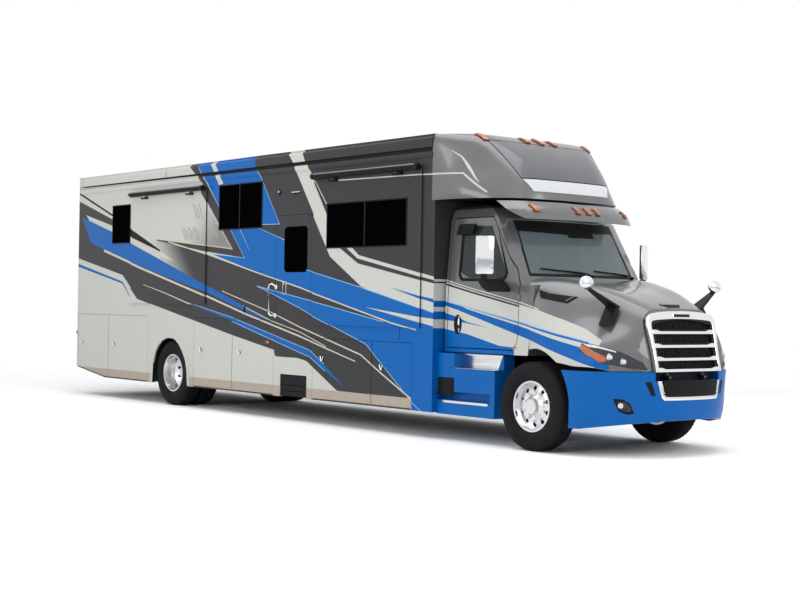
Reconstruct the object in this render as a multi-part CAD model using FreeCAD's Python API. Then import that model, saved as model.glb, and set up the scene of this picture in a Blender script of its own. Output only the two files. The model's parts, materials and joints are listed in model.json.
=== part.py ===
import FreeCAD, Part
import math
import os

# Motorhome on a conventional-cab truck chassis.
# +X forward, +Y to the vehicle's left, +Z up, millimetres.
# The origin is on the ground, in the middle of the overall length and width.
# Stations along the vehicle are distances behind the front axle: aft(d).

V = FreeCAD.Vector

# Overall
WHEELBASE = 8150.0
FRONT_OVERHANG = 1400.0
REAR_OVERHANG = 3290.0
HALF_WIDTH = 1282.5
SKIRT_Z = 334.0
# The skirt's bottom edge rises from this station to this height at the rear end
SKIRT_RISE = (WHEELBASE + 2200.0, 487.0)
WALL_TOP_Z = 3617.0
CASE_LOW_Z = 3667.0
EDGE_TOP_Z = 3805.0
ROOF_TOP_Z = 3840.0
ROOF_T = 130.0
WALL_T = 60.0
PANEL_GAP = 5.0
SEAT_GAP = 0.3
PIN_FIT = 0.1

# House stations behind the front axle, and its floors
HOUSE_FRONT = 1750.0
BULKHEAD_T = 60.0
REAR_WALL_T = 60.0
REAR_CORNER_R = 45.0
# Way through the bulkhead: half width, sill and head; and the play round the frame rails
BULKHEAD_WAY = (600.0, 1290.0, 2850.0)
RAIL_PLAY = 12.0
REAR_FLOOR_LOW_Z = 1420.0
FRONT_FLOOR_LOW_Z = 1195.0
FLOOR_T = 80.0
FLOOR_STEP = 5203.0
BAY_FLOOR_T = 18.0
BAY_INNER_Y = 460.0
MID_BAY_REAR = WHEELBASE - 733.0
# Each baggage bay: rear end, split between its two doors, front end, door top
BAYS = (
    (WHEELBASE + 3200.0, WHEELBASE + 2083.0, WHEELBASE + 720.0, REAR_FLOOR_LOW_Z),
    (MID_BAY_REAR, (MID_BAY_REAR + FLOOR_STEP) / 2, FLOOR_STEP, REAR_FLOOR_LOW_Z),
    (4250.0, 2921.0, 2090.0, FRONT_FLOOR_LOW_Z),
)
BAGGAGE_DOOR_T = 45.0
HINGE_INSET = 8.0
HINGE_PIN_R = 5.0
HINGE_PIN_L = 14.0
LATCH_W = 70.0
LATCH_H = 45.0
LATCH_T = 6.0
LATCH_DOWN = 270.0

# Wheel housing in the house skirt
ARCH_HALF = 560.0
ARCH_TOP_Z = 1075.0
ARCH_CORNER_R = 230.0

# Slide-out rooms: rear end, front end, sill and head heights, stroke
REAR_SLIDE = (WHEELBASE + 1270.0, WHEELBASE - 1040.0, 1650.0, 3385.0, 600.0)
FRONT_SLIDE = (4220.0, 1955.0, 1410.0, 3385.0, 750.0)
SLIDE_SKIN_T = 35.0
SLIDE_CLEAR = 10.0
SLIDE_FLANGE = 25.0
SLIDE_FLANGE_T = 18.0
SLIDE_INSET = 45.0
GUIDE_W = 90.0
GUIDE_INSET = 300.0
TOPPER_R = 38.0
TOPPER_OUT = 52.0
TOPPER_Z = 3432.0
TOPPER_INSET = 15.0
TOPPER_ARM_T = 14.0
# Topper brackets: inset from each end, width, depth under the roller
TOPPER_BRACKET = (420.0, 60.0, 26.0)

# Entry door
ENTRY_DOOR = (5190.0, 4320.0, 900.0, 2930.0)
ENTRY_DOOR_T = 50.0
ENTRY_RELIEF_R = 15.0
ENTRY_CORNER_R = 60.0
ENTRY_GLASS = (4972.0, 4412.0, 2111.0, 2760.0)
ENTRY_GLASS_R = 70.0
STEP_BOX = (5032.0, 4381.0, 340.0, 655.0)
STEP_BOX_INNER_Y = 820.0
STEP_WELL_Y = 760.0
STEP_PLATE_T = 20.0
# Inner step: depth and height; folded outer treads: heights and thickness
INNER_STEP = (250.0, 150.0)
OUTER_TREADS = (360.0, 520.0)
OUTER_TREAD_T = 24.0
# Fascia strips of the folded step: heights, drop and rise of each, thickness, setback
STEP_STRIPS = (360.0, 440.0, 520.0, 580.0)
STEP_STRIP = (12.0, 60.0, 12.0)
STEP_SETBACK = 8.0
# Door latch box: rear end, front end, low, high, and how far it stands out
ENTRY_LATCH = (5022.0, 4930.0, 1770.0, 1960.0)
ENTRY_LATCH_OUT = 12.0

# Windows in the house side: rear end, front end, sill, head
REAR_WINDOW = (WHEELBASE + 2002.0, WHEELBASE + 1368.0, 2633.0, 3288.0)
SLIDE_WINDOW = (3934.0, 2207.0, 2429.0, 3050.0)
# The bedroom window fills this share of the wall between the entry door and the rear slide-out
BEDROOM_SHARE = 0.617
BEDROOM_MID = (ENTRY_DOOR[0] + REAR_SLIDE[1]) / 2
BEDROOM_HALF = BEDROOM_SHARE * (REAR_SLIDE[1] - ENTRY_DOOR[0]) / 2
BEDROOM_WINDOW = (BEDROOM_MID + BEDROOM_HALF, BEDROOM_MID - BEDROOM_HALF, 2764.0, 3451.0)
WINDOW_T = 22.0
WINDOW_PROUD = 4.0

# Roof
AWNING_CASE_IN_Y = 1237.5
AWNING_PROUD = 14.0
AWNING_EDGE_R = 35.0
AWNING_RAIL_SET = 12.0
ROOF_EDGE_R = 30.0
ROOF_RAIL_Y = 1165.0
ROOF_UNIT = (1020.0, 700.0, 165.0)
ROOF_UNIT_R = 60.0
ROOF_UNIT_AT = (9300.0, 6200.0, 3300.0)
# Raised pad for an antenna or solar panel: station of its middle, half size, height
ROOF_PAD = (7750.0, 300.0, 12.0)

# Cap over the cab: height, then its half plan outline, stations behind the axle
CAP_LEVELS = (
    (2995.0, ((1750.0, 1282.5), (1350.0, 1272.0), (1050.0, 1205.0), (790.0, 1045.0), (610.0, 850.0),
              (550.0, 660.0), (515.0, 330.0), (511.0, 0.0))),
    (3240.0, ((1750.0, 1282.5), (1450.0, 1272.0), (1200.0, 1215.0), (950.0, 1055.0), (765.0, 880.0),
              (660.0, 700.0), (612.0, 350.0), (602.0, 0.0))),
    (3500.0, ((1750.0, 1282.5), (1600.0, 1268.0), (1420.0, 1225.0), (1220.0, 1120.0), (1030.0, 975.0),
              (880.0, 800.0), (812.0, 400.0), (800.0, 0.0))),
    (3747.0, ((1750.0, 1278.0), (1600.0, 1245.0), (1450.0, 1180.0), (1300.0, 1080.0), (1200.0, 970.0),
              (1150.0, 850.0), (1115.0, 420.0), (1108.0, 0.0))),
    (3825.0, ((1750.0, 1245.0), (1640.0, 1215.0), (1530.0, 1150.0), (1420.0, 1050.0), (1340.0, 950.0),
              (1300.0, 840.0), (1275.0, 420.0), (1270.0, 0.0))),
)
CAP_SKIN_T = 35.0

# Cab
CAB_REAR = 1650.0
CAB_LOW_Z = 1100.0
COWL_Z = 1930.0
CAB_SKIN_T = 45.0
CAB_LOWER_LEVELS = ((CAB_LOW_Z, 168.0, 168.0, 1118.0), (COWL_Z, 72.0, 72.0, 1112.0))
# Height, front station at the side, at the middle, half width
CAB_UPPER_LEVELS = (
    (COWL_Z, 350.0, 165.0, 1108.0),
    (2760.0, 800.0, 600.0, 1030.0),
    (2880.0, 960.0, 760.0, 975.0),
    (2930.0, 1150.0, 980.0, 880.0),
)
CAB_DOOR_OUTLINE = (
    (1600.0, 1160.0), (440.0, 1160.0), (370.0, 1240.0), (345.0, 1330.0), (345.0, 1915.0),
    (452.0, 2130.0), (835.0, 2700.0), (900.0, 2765.0), (1560.0, 2765.0), (1600.0, 2720.0),
)
CAB_GLASS_OUTLINE = (
    (1400.0, 2095.0), (1240.0, 2025.0), (640.0, 2010.0), (575.0, 2075.0), (890.0, 2655.0), (1400.0, 2655.0),
)
CAB_DOOR_GAP = 12.0
CAB_HINGE = (372.0, 1110.0)
CAB_HINGE_HEIGHTS = (1420.0, 1790.0)
CAB_HINGE_PIN_R = 8.0
CAB_HINGE_EAR_R = 14.0
CAB_HINGE_H = 60.0
CAB_HINGE_RECESS = 26.0
CAB_DOOR_INNER_Y = 800.0
# Way through the cab's back: half width, sill and head
CAB_WAY = (600.0, 1290.0, 2790.0)
CAB_POST_FRONT = 400.0
CAB_POST_W = 90.0
# Door mirror head: station, offset from the middle, half width, half depth, low and high, turn in degrees
MIRROR_AT = (610.0, 1425.0)
MIRROR_HALF = (30.0, 112.0)
MIRROR_Z = (2055.0, 2515.0)
MIRROR_TURN = 25.0
MIRROR_CORNER_R = 24.0
MIRROR_ARM = ((640.0, 2000.0), (560.0, 1960.0), (480.0, 1880.0), (520.0, 1850.0), (610.0, 1890.0), (680.0, 1960.0))
MIRROR_STEM_Z = 1940.0
GLASS_INSET = 4.0
GLASS_T = 6.0
WINDSHIELD_LOW = (925.0, 2045.0)
WINDSHIELD_HIGH = (860.0, 2735.0)

# Hood: station ahead of the axle, then the half outline from the sill to the crown
HOOD_SILL_Z = 975.0
HOOD_LEVELS = (
    (-210.0, ((1112.0, 975.0), (1118.0, 1400.0), (1108.0, 1780.0), (1050.0, 1955.0), (900.0, 2022.0),
              (500.0, 2012.0), (0.0, 2000.0))),
    (0.0, ((1145.0, 975.0), (1148.0, 1380.0), (1085.0, 1760.0), (1000.0, 1930.0), (855.0, 2008.0),
           (450.0, 1990.0), (0.0, 1978.0))),
    (250.0, ((1188.0, 975.0), (1190.0, 1300.0), (1060.0, 1640.0), (930.0, 1850.0), (785.0, 1955.0),
             (400.0, 1948.0), (0.0, 1938.0))),
    (650.0, ((1195.0, 975.0), (1182.0, 1190.0), (1050.0, 1400.0), (850.0, 1620.0), (660.0, 1845.0),
             (340.0, 1862.0), (0.0, 1858.0))),
    (950.0, ((1110.0, 975.0), (1090.0, 1150.0), (960.0, 1320.0), (755.0, 1510.0), (575.0, 1715.0),
             (300.0, 1755.0), (0.0, 1755.0))),
    (1180.0, ((805.0, 975.0), (800.0, 1090.0), (755.0, 1270.0), (645.0, 1440.0), (520.0, 1590.0),
              (260.0, 1640.0), (0.0, 1645.0))),
    (1330.0, ((640.0, 975.0), (632.0, 1050.0), (600.0, 1180.0), (535.0, 1320.0), (450.0, 1450.0),
              (220.0, 1505.0), (0.0, 1510.0))),
)
HOOD_SKIN_T = 22.0
HOOD_GAP = 8.0
# Tilt axis: station ahead of the axle and height, and the ears it passes through
HOOD_PIVOT = (1290.0, 900.0)
HOOD_EAR_Y = 320.0
HOOD_EAR_T = 24.0
HOOD_EAR_R = 21.0
HOOD_PIN_R = 10.0
HOOD_BAR = (1190.0, 1250.0, 600.0, 985.0, 1030.0)
# Hood mirror head: centre ahead of the axle, offset and height, half sizes along x, y and z
HOOD_MIRROR_AT = (770.0, 1140.0, 1960.0)
HOOD_MIRROR_HALF = (50.6, 105.8, 78.2)
# Hood mirror arm, from its head to its pad: ahead of the axle, offset, height, length and thickness
HOOD_MIRROR_ARM = (
    (770.0, 1125.0, 1905.0, 60.0, 34.0),
    (815.0, 745.0, 1700.0, 170.0, 60.0),
    (835.0, 880.0, 1490.0, 165.0, 60.0),
)
WHEEL_ARCH_R = 632.0
WHEEL_ARCH_AT = (-10.0, 560.0)
NOSE_LOW = (1276.0, 955.0)
NOSE_HIGH = (1125.0, 1620.0)
NOSE_T = 35.0
NOSE_HOLE = ((-470.0, 1000.0), (470.0, 1000.0), (500.0, 1520.0), (-500.0, 1520.0))
HEADLAMP_DEPTH = 60.0
HEADLAMP_OUTLINE = (
    (1175.0, 1335.0), (1172.0, 1150.0), (1110.0, 1065.0), (800.0, 1000.0), (650.0, 992.0),
    (700.0, 1070.0), (900.0, 1185.0), (1080.0, 1265.0),
)

# Grille, in its own leaning plane: heights are along its slope
GRILLE_LOW_HALF = 520.0
GRILLE_TOP_HALF = 548.0
GRILLE_SIDE_H = 625.0
GRILLE_H = 682.0
GRILLE_CORNER_R = 45.0
GRILLE_FRAME_W = 40.0
GRILLE_HEAD_W = 78.0
GRILLE_DEPTH = 52.0
GRILLE_BARS = (162.0, 322.0, 482.0)
GRILLE_BAR_H = 9.0
GRILLE_LUG_H = 20.0
GRILLE_LUG_L = 95.0
GRILLE_RIBS = 9
GRILLE_RIB_W = 8.0

# Bumper: height, then the half plan outline from the wheel arch to the nose
BUMPER_LEVELS = (
    (315.0, ((380.0, 1150.0), (820.0, 1135.0), (990.0, 985.0), (1215.0, 690.0), (1330.0, 390.0), (1360.0, 0.0))),
    (480.0, ((380.0, 1185.0), (840.0, 1170.0), (1025.0, 1000.0), (1250.0, 700.0), (1370.0, 400.0), (1400.0, 0.0))),
    (968.0, ((380.0, 1195.0), (840.0, 1185.0), (1065.0, 1000.0), (1245.0, 745.0), (1318.0, 430.0), (1335.0, 0.0))),
)
# The underside rises from its rear end to the nose
BUMPER_UNDER = ((720.0, 315.0), (1347.0, 416.0))
BUMPER_T = 40.0
BUMPER_NOTCH = (560.0, 868.0)
LOWER_GRILLE = ((475.0, 832.0), (425.0, 655.0))
LOWER_SLATS = (684.0, 722.0, 760.0, 798.0)
LOWER_SLAT_H = 13.0
BUMPER_ARM = (560.0, 640.0)

# Visor over the windshield: height, then its half plan outline, stations behind the axle
VISOR_LEVELS = (
    (2735.0, ((860.0, 1112.0), (560.0, 1092.0), (370.0, 850.0), (275.0, 450.0), (240.0, 0.0))),
    (2860.0, ((860.0, 1108.0), (640.0, 1085.0), (420.0, 830.0), (330.0, 440.0), (300.0, 0.0))),
    (2960.0, ((860.0, 1090.0), (760.0, 1060.0), (560.0, 810.0), (470.0, 430.0), (440.0, 0.0))),
)
VISOR_T = 22.0
VISOR_RIB_T = 12.0
# Visor ribs: offset, low and high of the middle pair; inner end, height and length of the side pair
VISOR_MID_RIB = (350.0, 2770.0, 2840.0)
VISOR_SIDE_RIB = (900.0, 2775.0, 60.0)

# Running gear
TYRE_R = 520.0
TYRE_W = 280.0
TYRE_BEAD_R = 287.0
# Sidewall bulge over the bead, and the tread's shoulder: drop in radius, setback from the side
TYRE_BULGE = 115.0
TYRE_SHOULDER = ((60.0, 6.0), (14.0, 26.0), (0.0, 48.0))
RIM_FLANGE_R = 298.5
RIM_W = 225.0
RIM_T = 11.0
RIM_LIP_T = 10.0
RIM_SEAT_IN = 14.0
DISC_T = 20.0
FRONT_TRACK_Y = 1100.0
REAR_OUTER_Y = 1105.0
DUAL_SPACING = 330.0
HUB_R = 140.0
HUB_IN = 60.0
HUB_OUT = 62.0
HUB_CAP_T = 18.0
# Step down of the hub's outer end: radius less and distance out
HUB_STEPS = ((0.0, 12.0), (40.0, 40.0))
HUB_CAP_IN = 55.0
HUB_SHOULDER = 60.0
DISC_STEP = 12.0
DISC_DISH = 26.0
REAR_DISH = 60.0
FRONT_DISC_OUT = 45.0
SPINDLE_R = 40.0
HAND_HOLES = 10
HAND_HOLE_R = 27.0
HAND_HOLE_PITCH_R = 214.0
LUG_PITCH_R = 167.0
LUG_R = 17.0
LUG_L = 38.0
KINGPIN_Y = 925.0
KINGPIN_R = 22.0
KINGPIN_BOSS_R = 42.0
KINGPIN_BOSS_H = 150.0
KNUCKLE_HALF = 38.0
KNUCKLE_IN = 36.0
KNUCKLE_PLAY = 8.0
KNUCKLE_PLATE_T = 30.0
STEER_ARM_L = 230.0
AXLE_BEAM = (90.0, 100.0)
RAIL_Y = 430.0
RAIL_H = 265.0
RAIL_W = 80.0
RAIL_T = 10.0
RAIL_TOP_Z = 1040.0
RAIL_FRONT = 1090.0
CROSS_SPACING = 1500.0
BEARER_W = 60.0
# Rear end, front end, half width, low and high
ENGINE_BOX = (20.0, -900.0, 300.0, 755.0, 1560.0)
# Its mounts: rear end, front end, and low and high below the top of the rails
ENGINE_MOUNT = (-300.0, -420.0, 120.0, 60.0)
SPRING_Y = 470.0
SPRING_W = 90.0
SPRING_T = 45.0
SHACKLE_IN = 72.0
SHACKLE_HALF = 30.0
SPRING_RISE = 110.0
REAR_SPRING_SEAT = 70.0
AXLE_TUBE_R = 78.0
AXLE_SLEEVE_R = 55.0
DIFF_R = 205.0
# Differential nose: radii at its root and tip, and length
DIFF_NOSE = (120.0, 60.0, 330.0)
# Drive shaft: start ahead of the axle, height over it, radius, rise to its front end, gap to the front axle
SHAFT = (250.0, 20.0, 55.0, 190.0, 2300.0)
FRONT_SPRING_HALF = 620.0
REAR_SPRING_HALF = 650.0

# Side fairings with steps, behind the front wheels
FAIRING = (HOUSE_FRONT - BULKHEAD_T, 640.0, 322.0, 1085.0)
FAIRING_Y = 1200.0
FAIRING_DEPTH = 330.0
FAIRING_SKIN = 25.0
FAIRING_BACK = 190.0
# Step notches: rear end, front end, low, high, depth
UPPER_STEP = (1370.0, FAIRING[1] - 1, 905.0, FAIRING[3] + 1, 150.0)
LOWER_STEP = (1700.0, 720.0, 500.0, 610.0, 110.0)
TANK_ENDS = (1660.0, 700.0)
TANK_R = 270.0
TANK_Y = 725.0
TANK_Z = 640.0
# Tank saddle: rear and front end behind the tank's rear end, low and high over its axis
TANK_SADDLE = (140.0, 340.0, 150.0, 230.0)

# Seats, dashboard and steering wheel in the cab; heights are over the cab floor
SEAT_Y = 560.0
SEAT_HALF = (200.0, 250.0, 240.0)
SEAT_BASE = (1330.0, 900.0, 260.0)
SEAT_CUSHION = (1380.0, 850.0, 400.0)
SEAT_CUSHION_R = 40.0
SEAT_BACK = ((1330.0, 400.0), (1230.0, 400.0), (1360.0, 1105.0), (1450.0, 1105.0))
HEADREST = (1470.0, 1370.0, 1125.0, 1295.0)
HEADREST_HALF = 130.0
HEADREST_R = 30.0
HEADREST_NECK = (1425.0, 1405.0, 1095.0, 1135.0)
HEADREST_NECK_HALF = 60.0
DASH_HALF = 1000.0
DASH_OUTLINE = ((230.0, 420.0), (560.0, 500.0), (600.0, 655.0), (560.0, 745.0), (450.0, 795.0), (410.0, 723.0),
                (230.0, 715.0))
CONSOLE = (500.0, 260.0, 150.0, 500.0)
COLUMN_AT = (560.0, 575.0)
COLUMN_RUN = (-1.0, 0.0, 0.7)
COLUMN_SIZE = (30.0, 190.0)
STEERING_AT = (720.0, 690.0)
STEERING_RADII = (215.0, 16.0)
STEERING_TILT = 55.0
STEERING_SPOKE = (30.0, 420.0, 14.0)

# Hitch receiver under the rear wall
RECEIVER_W = 63.5
RECEIVER_BORE = 51.0
RECEIVER_L = 300.0
RECEIVER_REAR = WHEELBASE + REAR_OVERHANG - 10.0
RECEIVER_Z = 318.0
RECEIVER_PIN_D = 64.0
RECEIVER_PIN_R = 8.2
RECEIVER_BOSS_R = 15.0
RECEIVER_BOSS_Y = 38.0

TOTAL = FRONT_OVERHANG + WHEELBASE + REAR_OVERHANG
FRONT_AXLE_X = TOTAL / 2.0 - FRONT_OVERHANG
REAR_AXLE_X = FRONT_AXLE_X - WHEELBASE
INNER_Y = HALF_WIDTH - WALL_T
SIDES = (("right", -1.0), ("left", 1.0))


def aft(distance):
    """X of a station given as its distance behind the front axle."""
    return FRONT_AXLE_X - distance


def block(x0, x1, y0, y1, z0, z1):
    """Box between two corners given in any order."""
    low = V(min(x0, x1), min(y0, y1), min(z0, z1))
    return Part.makeBox(abs(x1 - x0), abs(y1 - y0), abs(z1 - z0), low)


def span(rear, front, y0, y1, z0, z1):
    """Box between two stations behind the front axle."""
    return block(aft(rear), aft(front), y0, y1, z0, z1)


def rod(centre, direction, radius, length):
    """Cylinder that starts at centre and runs along direction."""
    return Part.makeCylinder(radius, length, centre, direction)


def side_prism(points, y0, y1):
    """Outline of (station behind the axle, z) pairs pushed across the vehicle."""
    ring = [V(aft(d), y0, z) for d, z in points]
    face = Part.Face(Part.makePolygon(ring + ring[:1]))
    return face.extrude(V(0, y1 - y0, 0))


def skirt_low(d):
    """Height of the skirt's bottom edge at a station: level, then rising to the rear end."""
    start, high = SKIRT_RISE
    run = WHEELBASE + REAR_OVERHANG - start
    return SKIRT_Z + max(0.0, d - start) * (high - SKIRT_Z) / run


def skirt_prism(rear, front, lift, top, y0, y1):
    """Upright piece whose underside follows the skirt's bottom edge, lift above it."""
    start = SKIRT_RISE[0]
    bends = [start] if front < start < rear else []
    low = [(d, skirt_low(d) + lift) for d in [rear] + bends + [front]]
    return side_prism(low + [(front, top), (rear, top)], y0, y1)


def front_prism(points, x0, x1):
    """Outline of (y, z) pairs pushed along the vehicle."""
    ring = [V(x0, y, z) for y, z in points]
    face = Part.Face(Part.makePolygon(ring + ring[:1]))
    return face.extrude(V(x1 - x0, 0, 0))


def mirrored(shape):
    """The same piece on the vehicle's other side."""
    return shape.mirror(V(0, 0, 0), V(0, 1, 0))


def on_side(shape, side):
    """A piece drawn on the right, kept there or mirrored to the left."""
    return shape if side < 0 else mirrored(shape)


def rounded_edges(shape, radius, keep):
    """Fillet the straight edges whose direction passes keep."""
    edges = [e for e in shape.Edges if keep(e)]
    return shape.makeFillet(radius, edges)


def along(axis):
    """Test for edges that run along one axis."""
    def test(edge):
        a, b = edge.Vertexes[0].Point, edge.Vertexes[-1].Point
        run = b.sub(a)
        return run.Length > 1.0 and abs(getattr(run, axis)) > 0.999 * run.Length
    return test


def smooth_wire(half, place):
    """Closed wire: a smooth curve through a mirrored half outline and its straight chord."""
    right = [place(*p) for p in half]
    left = [V(p.x, -p.y, p.z) for p in reversed(right) if abs(p.y) > 1e-6]
    curve = Part.BSplineCurve()
    curve.interpolate(right + left)
    chord = Part.LineSegment(left[-1], right[0])
    return Part.Wire([curve.toShape(), chord.toShape()])


def write(name, solids):
    """One STEP file per sub-part."""
    shapes = []
    for solid in solids:
        shapes.extend(solid.Solids)
    Part.makeCompound(shapes).exportStep("parts/%s.step" % name)


def chassis_frame():
    """Two channel rails with cross members, the bearers that carry the floors, and the tanks."""
    rear = REAR_OVERHANG + WHEELBASE - 2 * REAR_WALL_T
    low = RAIL_TOP_Z - RAIL_H
    rail_rear = rear - BEARER_W - SEAT_GAP
    pieces = []
    for _, side in SIDES:
        outer = span(rail_rear, -RAIL_FRONT, side * RAIL_Y, side * (RAIL_Y - RAIL_W), low, RAIL_TOP_Z)
        hollow = span(rail_rear + 1, -RAIL_FRONT - 1, side * (RAIL_Y - RAIL_T), side * (RAIL_Y - RAIL_W - 1),
                      low + RAIL_T, RAIL_TOP_Z - RAIL_T)
        pieces.append(outer.cut(hollow).multiFuse(hood_support(side)).removeSplitter())
    inner = RAIL_Y - RAIL_T - SEAT_GAP
    count = int((rear - HOUSE_FRONT) // CROSS_SPACING)
    stations = [HOUSE_FRONT + BEARER_W + CROSS_SPACING * i for i in range(count + 1)]
    for d in stations + [BEARER_W + RAIL_W - RAIL_FRONT]:
        pieces.append(span(d, d - BEARER_W, -inner, inner, low + RAIL_T + SEAT_GAP, RAIL_TOP_Z - RAIL_T - SEAT_GAP))
    for d in stations:
        floor_z = REAR_FLOOR_LOW_Z if d > FLOOR_STEP + BEARER_W else FRONT_FLOOR_LOW_Z
        pieces.append(span(d, d - BEARER_W, -RAIL_Y, RAIL_Y, RAIL_TOP_Z + SEAT_GAP, floor_z))
    pieces.append(span(rear, rear - BEARER_W, -RAIL_Y, RAIL_Y, low, REAR_FLOOR_LOW_Z))
    return pieces + [fuel_tank(side) for _, side in SIDES]


def hood_support(side):
    """Bracket on a rail's front end, with the pin the hood tilts on."""
    x, z = FRONT_AXLE_X + HOOD_PIVOT[0], HOOD_PIVOT[1]
    root = FRONT_AXLE_X + RAIL_FRONT
    y = side * (HOOD_EAR_Y + 2 * PANEL_GAP)
    out = side * (HOOD_EAR_Y + 2 * PANEL_GAP + HOOD_EAR_T)
    half = HOOD_EAR_R
    web = Part.Face(Part.makePolygon([V(root, y, z - 5 * half), V(x, y, z - half), V(x, y, z + half),
                                      V(root, y, z + half), V(root, y, z - 5 * half)]))
    plate = web.extrude(V(0, out - y, 0))
    foot = block(root - RAIL_W, root, y, side * RAIL_Y, z - 5 * half, z + half)
    tip = rod(V(x, y, z), V(0, side, 0), half, HOOD_EAR_T)
    pin = rod(V(x, out, z), V(0, -side, 0), HOOD_PIN_R, 2 * HOOD_EAR_T + 3 * PANEL_GAP)
    return [plate, foot, tip, pin]


def hitch_receiver():
    """Square hitch receiver under the rear wall, on a cross tube hung from the rails."""
    rear = REAR_OVERHANG + WHEELBASE - 2 * REAR_WALL_T
    half = RECEIVER_W / 2
    tube = span(RECEIVER_REAR, RECEIVER_REAR - RECEIVER_L, -half, half, RECEIVER_Z - half, RECEIVER_Z + half)
    front = rear - BEARER_W - RAIL_W
    cross = span(front + RAIL_W, front, -RAIL_Y, RAIL_Y, RECEIVER_Z + half, RECEIVER_Z + half + BEARER_W)
    drops = [span(front + RAIL_W - PANEL_GAP, front, side * (RAIL_Y - RAIL_W), side * RAIL_Y, RECEIVER_Z + half,
                  RAIL_TOP_Z - RAIL_H - SEAT_GAP) for _, side in SIDES]
    boss = rod(V(aft(RECEIVER_REAR - RECEIVER_PIN_D), -RECEIVER_BOSS_Y, RECEIVER_Z), V(0, 1, 0),
               RECEIVER_BOSS_R, 2 * RECEIVER_BOSS_Y)
    return [tube.multiFuse([cross, boss] + drops).removeSplitter().cut(receiver_socket())]


def receiver_socket():
    """Square socket of the hitch receiver and the hole for its cross pin."""
    half = RECEIVER_BORE / 2
    socket = span(RECEIVER_REAR + 1, RECEIVER_REAR - RECEIVER_L - 1, -half, half, RECEIVER_Z - half, RECEIVER_Z + half)
    pin_hole = rod(V(aft(RECEIVER_REAR - RECEIVER_PIN_D), -2 * RECEIVER_BOSS_Y, RECEIVER_Z), V(0, 1, 0),
                   RECEIVER_PIN_R, 4 * RECEIVER_BOSS_Y)
    return socket.fuse(pin_hole)


def fuel_tank(side):
    """Round tank beside a rail, on a saddle."""
    rear, front = TANK_ENDS
    tank = rod(V(aft(rear), side * TANK_Y, TANK_Z), V(1, 0, 0), TANK_R, rear - front)
    start, end, low, high = TANK_SADDLE
    saddle = span(rear - start, rear - end, side * (RAIL_Y + SEAT_GAP), side * TANK_Y, TANK_Z + low, TANK_Z + high)
    return tank.fuse(saddle)


def leaf_spring(x, y, seat_z, half_length):
    """Arched leaf pack with shackles up to the rail."""
    eye_z = seat_z + SPRING_RISE
    top = [V(x - half_length, 0, eye_z), V(x, 0, seat_z + SPRING_T), V(x + half_length, 0, eye_z)]
    low = [p.sub(V(0, 0, SPRING_T)) for p in top]
    upper = Part.Arc(top[0], top[1], top[2]).toShape()
    lower = Part.Arc(low[2], low[1], low[0]).toShape()
    ends = [Part.makeLine(top[2], low[2]), Part.makeLine(low[0], top[0])]
    face = Part.Face(Part.Wire([upper, ends[0], lower, ends[1]]))
    leaf = face.extrude(V(0, SPRING_W, 0))
    leaf.translate(V(0, y - SPRING_W / 2, 0))
    low_z = RAIL_TOP_Z - RAIL_H
    inward = math.copysign(SHACKLE_IN, y)
    shackles = [block(x + s * half_length - SHACKLE_HALF, x + s * half_length + SHACKLE_HALF, y - inward,
                      y + inward / 2, eye_z - SPRING_T, low_z) for s in (-1, 1)]
    return leaf.multiFuse(shackles)


def front_axle():
    """Dropped beam with a kingpin boss at each end, on two leaf springs."""
    wide, high = AXLE_BEAM
    seat = TYRE_R + high / 2
    beam = block(FRONT_AXLE_X - wide / 2, FRONT_AXLE_X + wide / 2, -KINGPIN_Y, KINGPIN_Y,
                 TYRE_R - high / 2, TYRE_R + high / 2)
    parts = [beam]
    for _, side in SIDES:
        base = V(FRONT_AXLE_X, side * KINGPIN_Y, TYRE_R - KINGPIN_BOSS_H / 2)
        parts.append(rod(base, V(0, 0, 1), KINGPIN_BOSS_R, KINGPIN_BOSS_H))
        parts.append(leaf_spring(FRONT_AXLE_X, side * SPRING_Y, seat, FRONT_SPRING_HALF))
    axle = parts[0].multiFuse(parts[1:])
    for _, side in SIDES:
        base = V(FRONT_AXLE_X, side * KINGPIN_Y, TYRE_R - KINGPIN_BOSS_H)
        axle = axle.cut(rod(base, V(0, 0, 1), KINGPIN_R + PIN_FIT, 2 * KINGPIN_BOSS_H))
    return [axle.removeSplitter()]


def rear_axle():
    """Drive axle housing with its differential, spindles, springs and drive shaft."""
    inner_tyre = REAR_OUTER_Y - DUAL_SPACING - TYRE_W / 2
    tube = rod(V(REAR_AXLE_X, -inner_tyre + 25, TYRE_R), V(0, 1, 0), AXLE_TUBE_R, 2 * inner_tyre - 50)
    hub_face = REAR_OUTER_Y - DUAL_SPACING / 2 + DISC_STEP - HUB_IN - PANEL_GAP
    sleeve = rod(V(REAR_AXLE_X, -hub_face, TYRE_R), V(0, 1, 0), AXLE_SLEEVE_R, 2 * hub_face)
    reach = hub_face + PANEL_GAP + HUB_IN + HUB_OUT - PANEL_GAP
    spindles = rod(V(REAR_AXLE_X, -reach, TYRE_R), V(0, 1, 0), SPINDLE_R, 2 * reach)
    bowl = Part.makeSphere(DIFF_R, V(REAR_AXLE_X, 0, TYRE_R))
    nose = Part.makeCone(*DIFF_NOSE, V(REAR_AXLE_X, 0, TYRE_R), V(1, 0, 0.05))
    parts = [tube, sleeve, spindles, bowl, nose]
    for _, side in SIDES:
        parts.append(leaf_spring(REAR_AXLE_X, side * SPRING_Y, TYRE_R + REAR_SPRING_SEAT, REAR_SPRING_HALF))
    ahead, lift, radius, rise, gap = SHAFT
    shaft = rod(V(REAR_AXLE_X + ahead, 0, TYRE_R + lift), V(WHEELBASE - gap, 0, rise), radius, WHEELBASE - gap)
    return [parts[0].multiFuse(parts[1:] + [shaft]).removeSplitter()]


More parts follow.
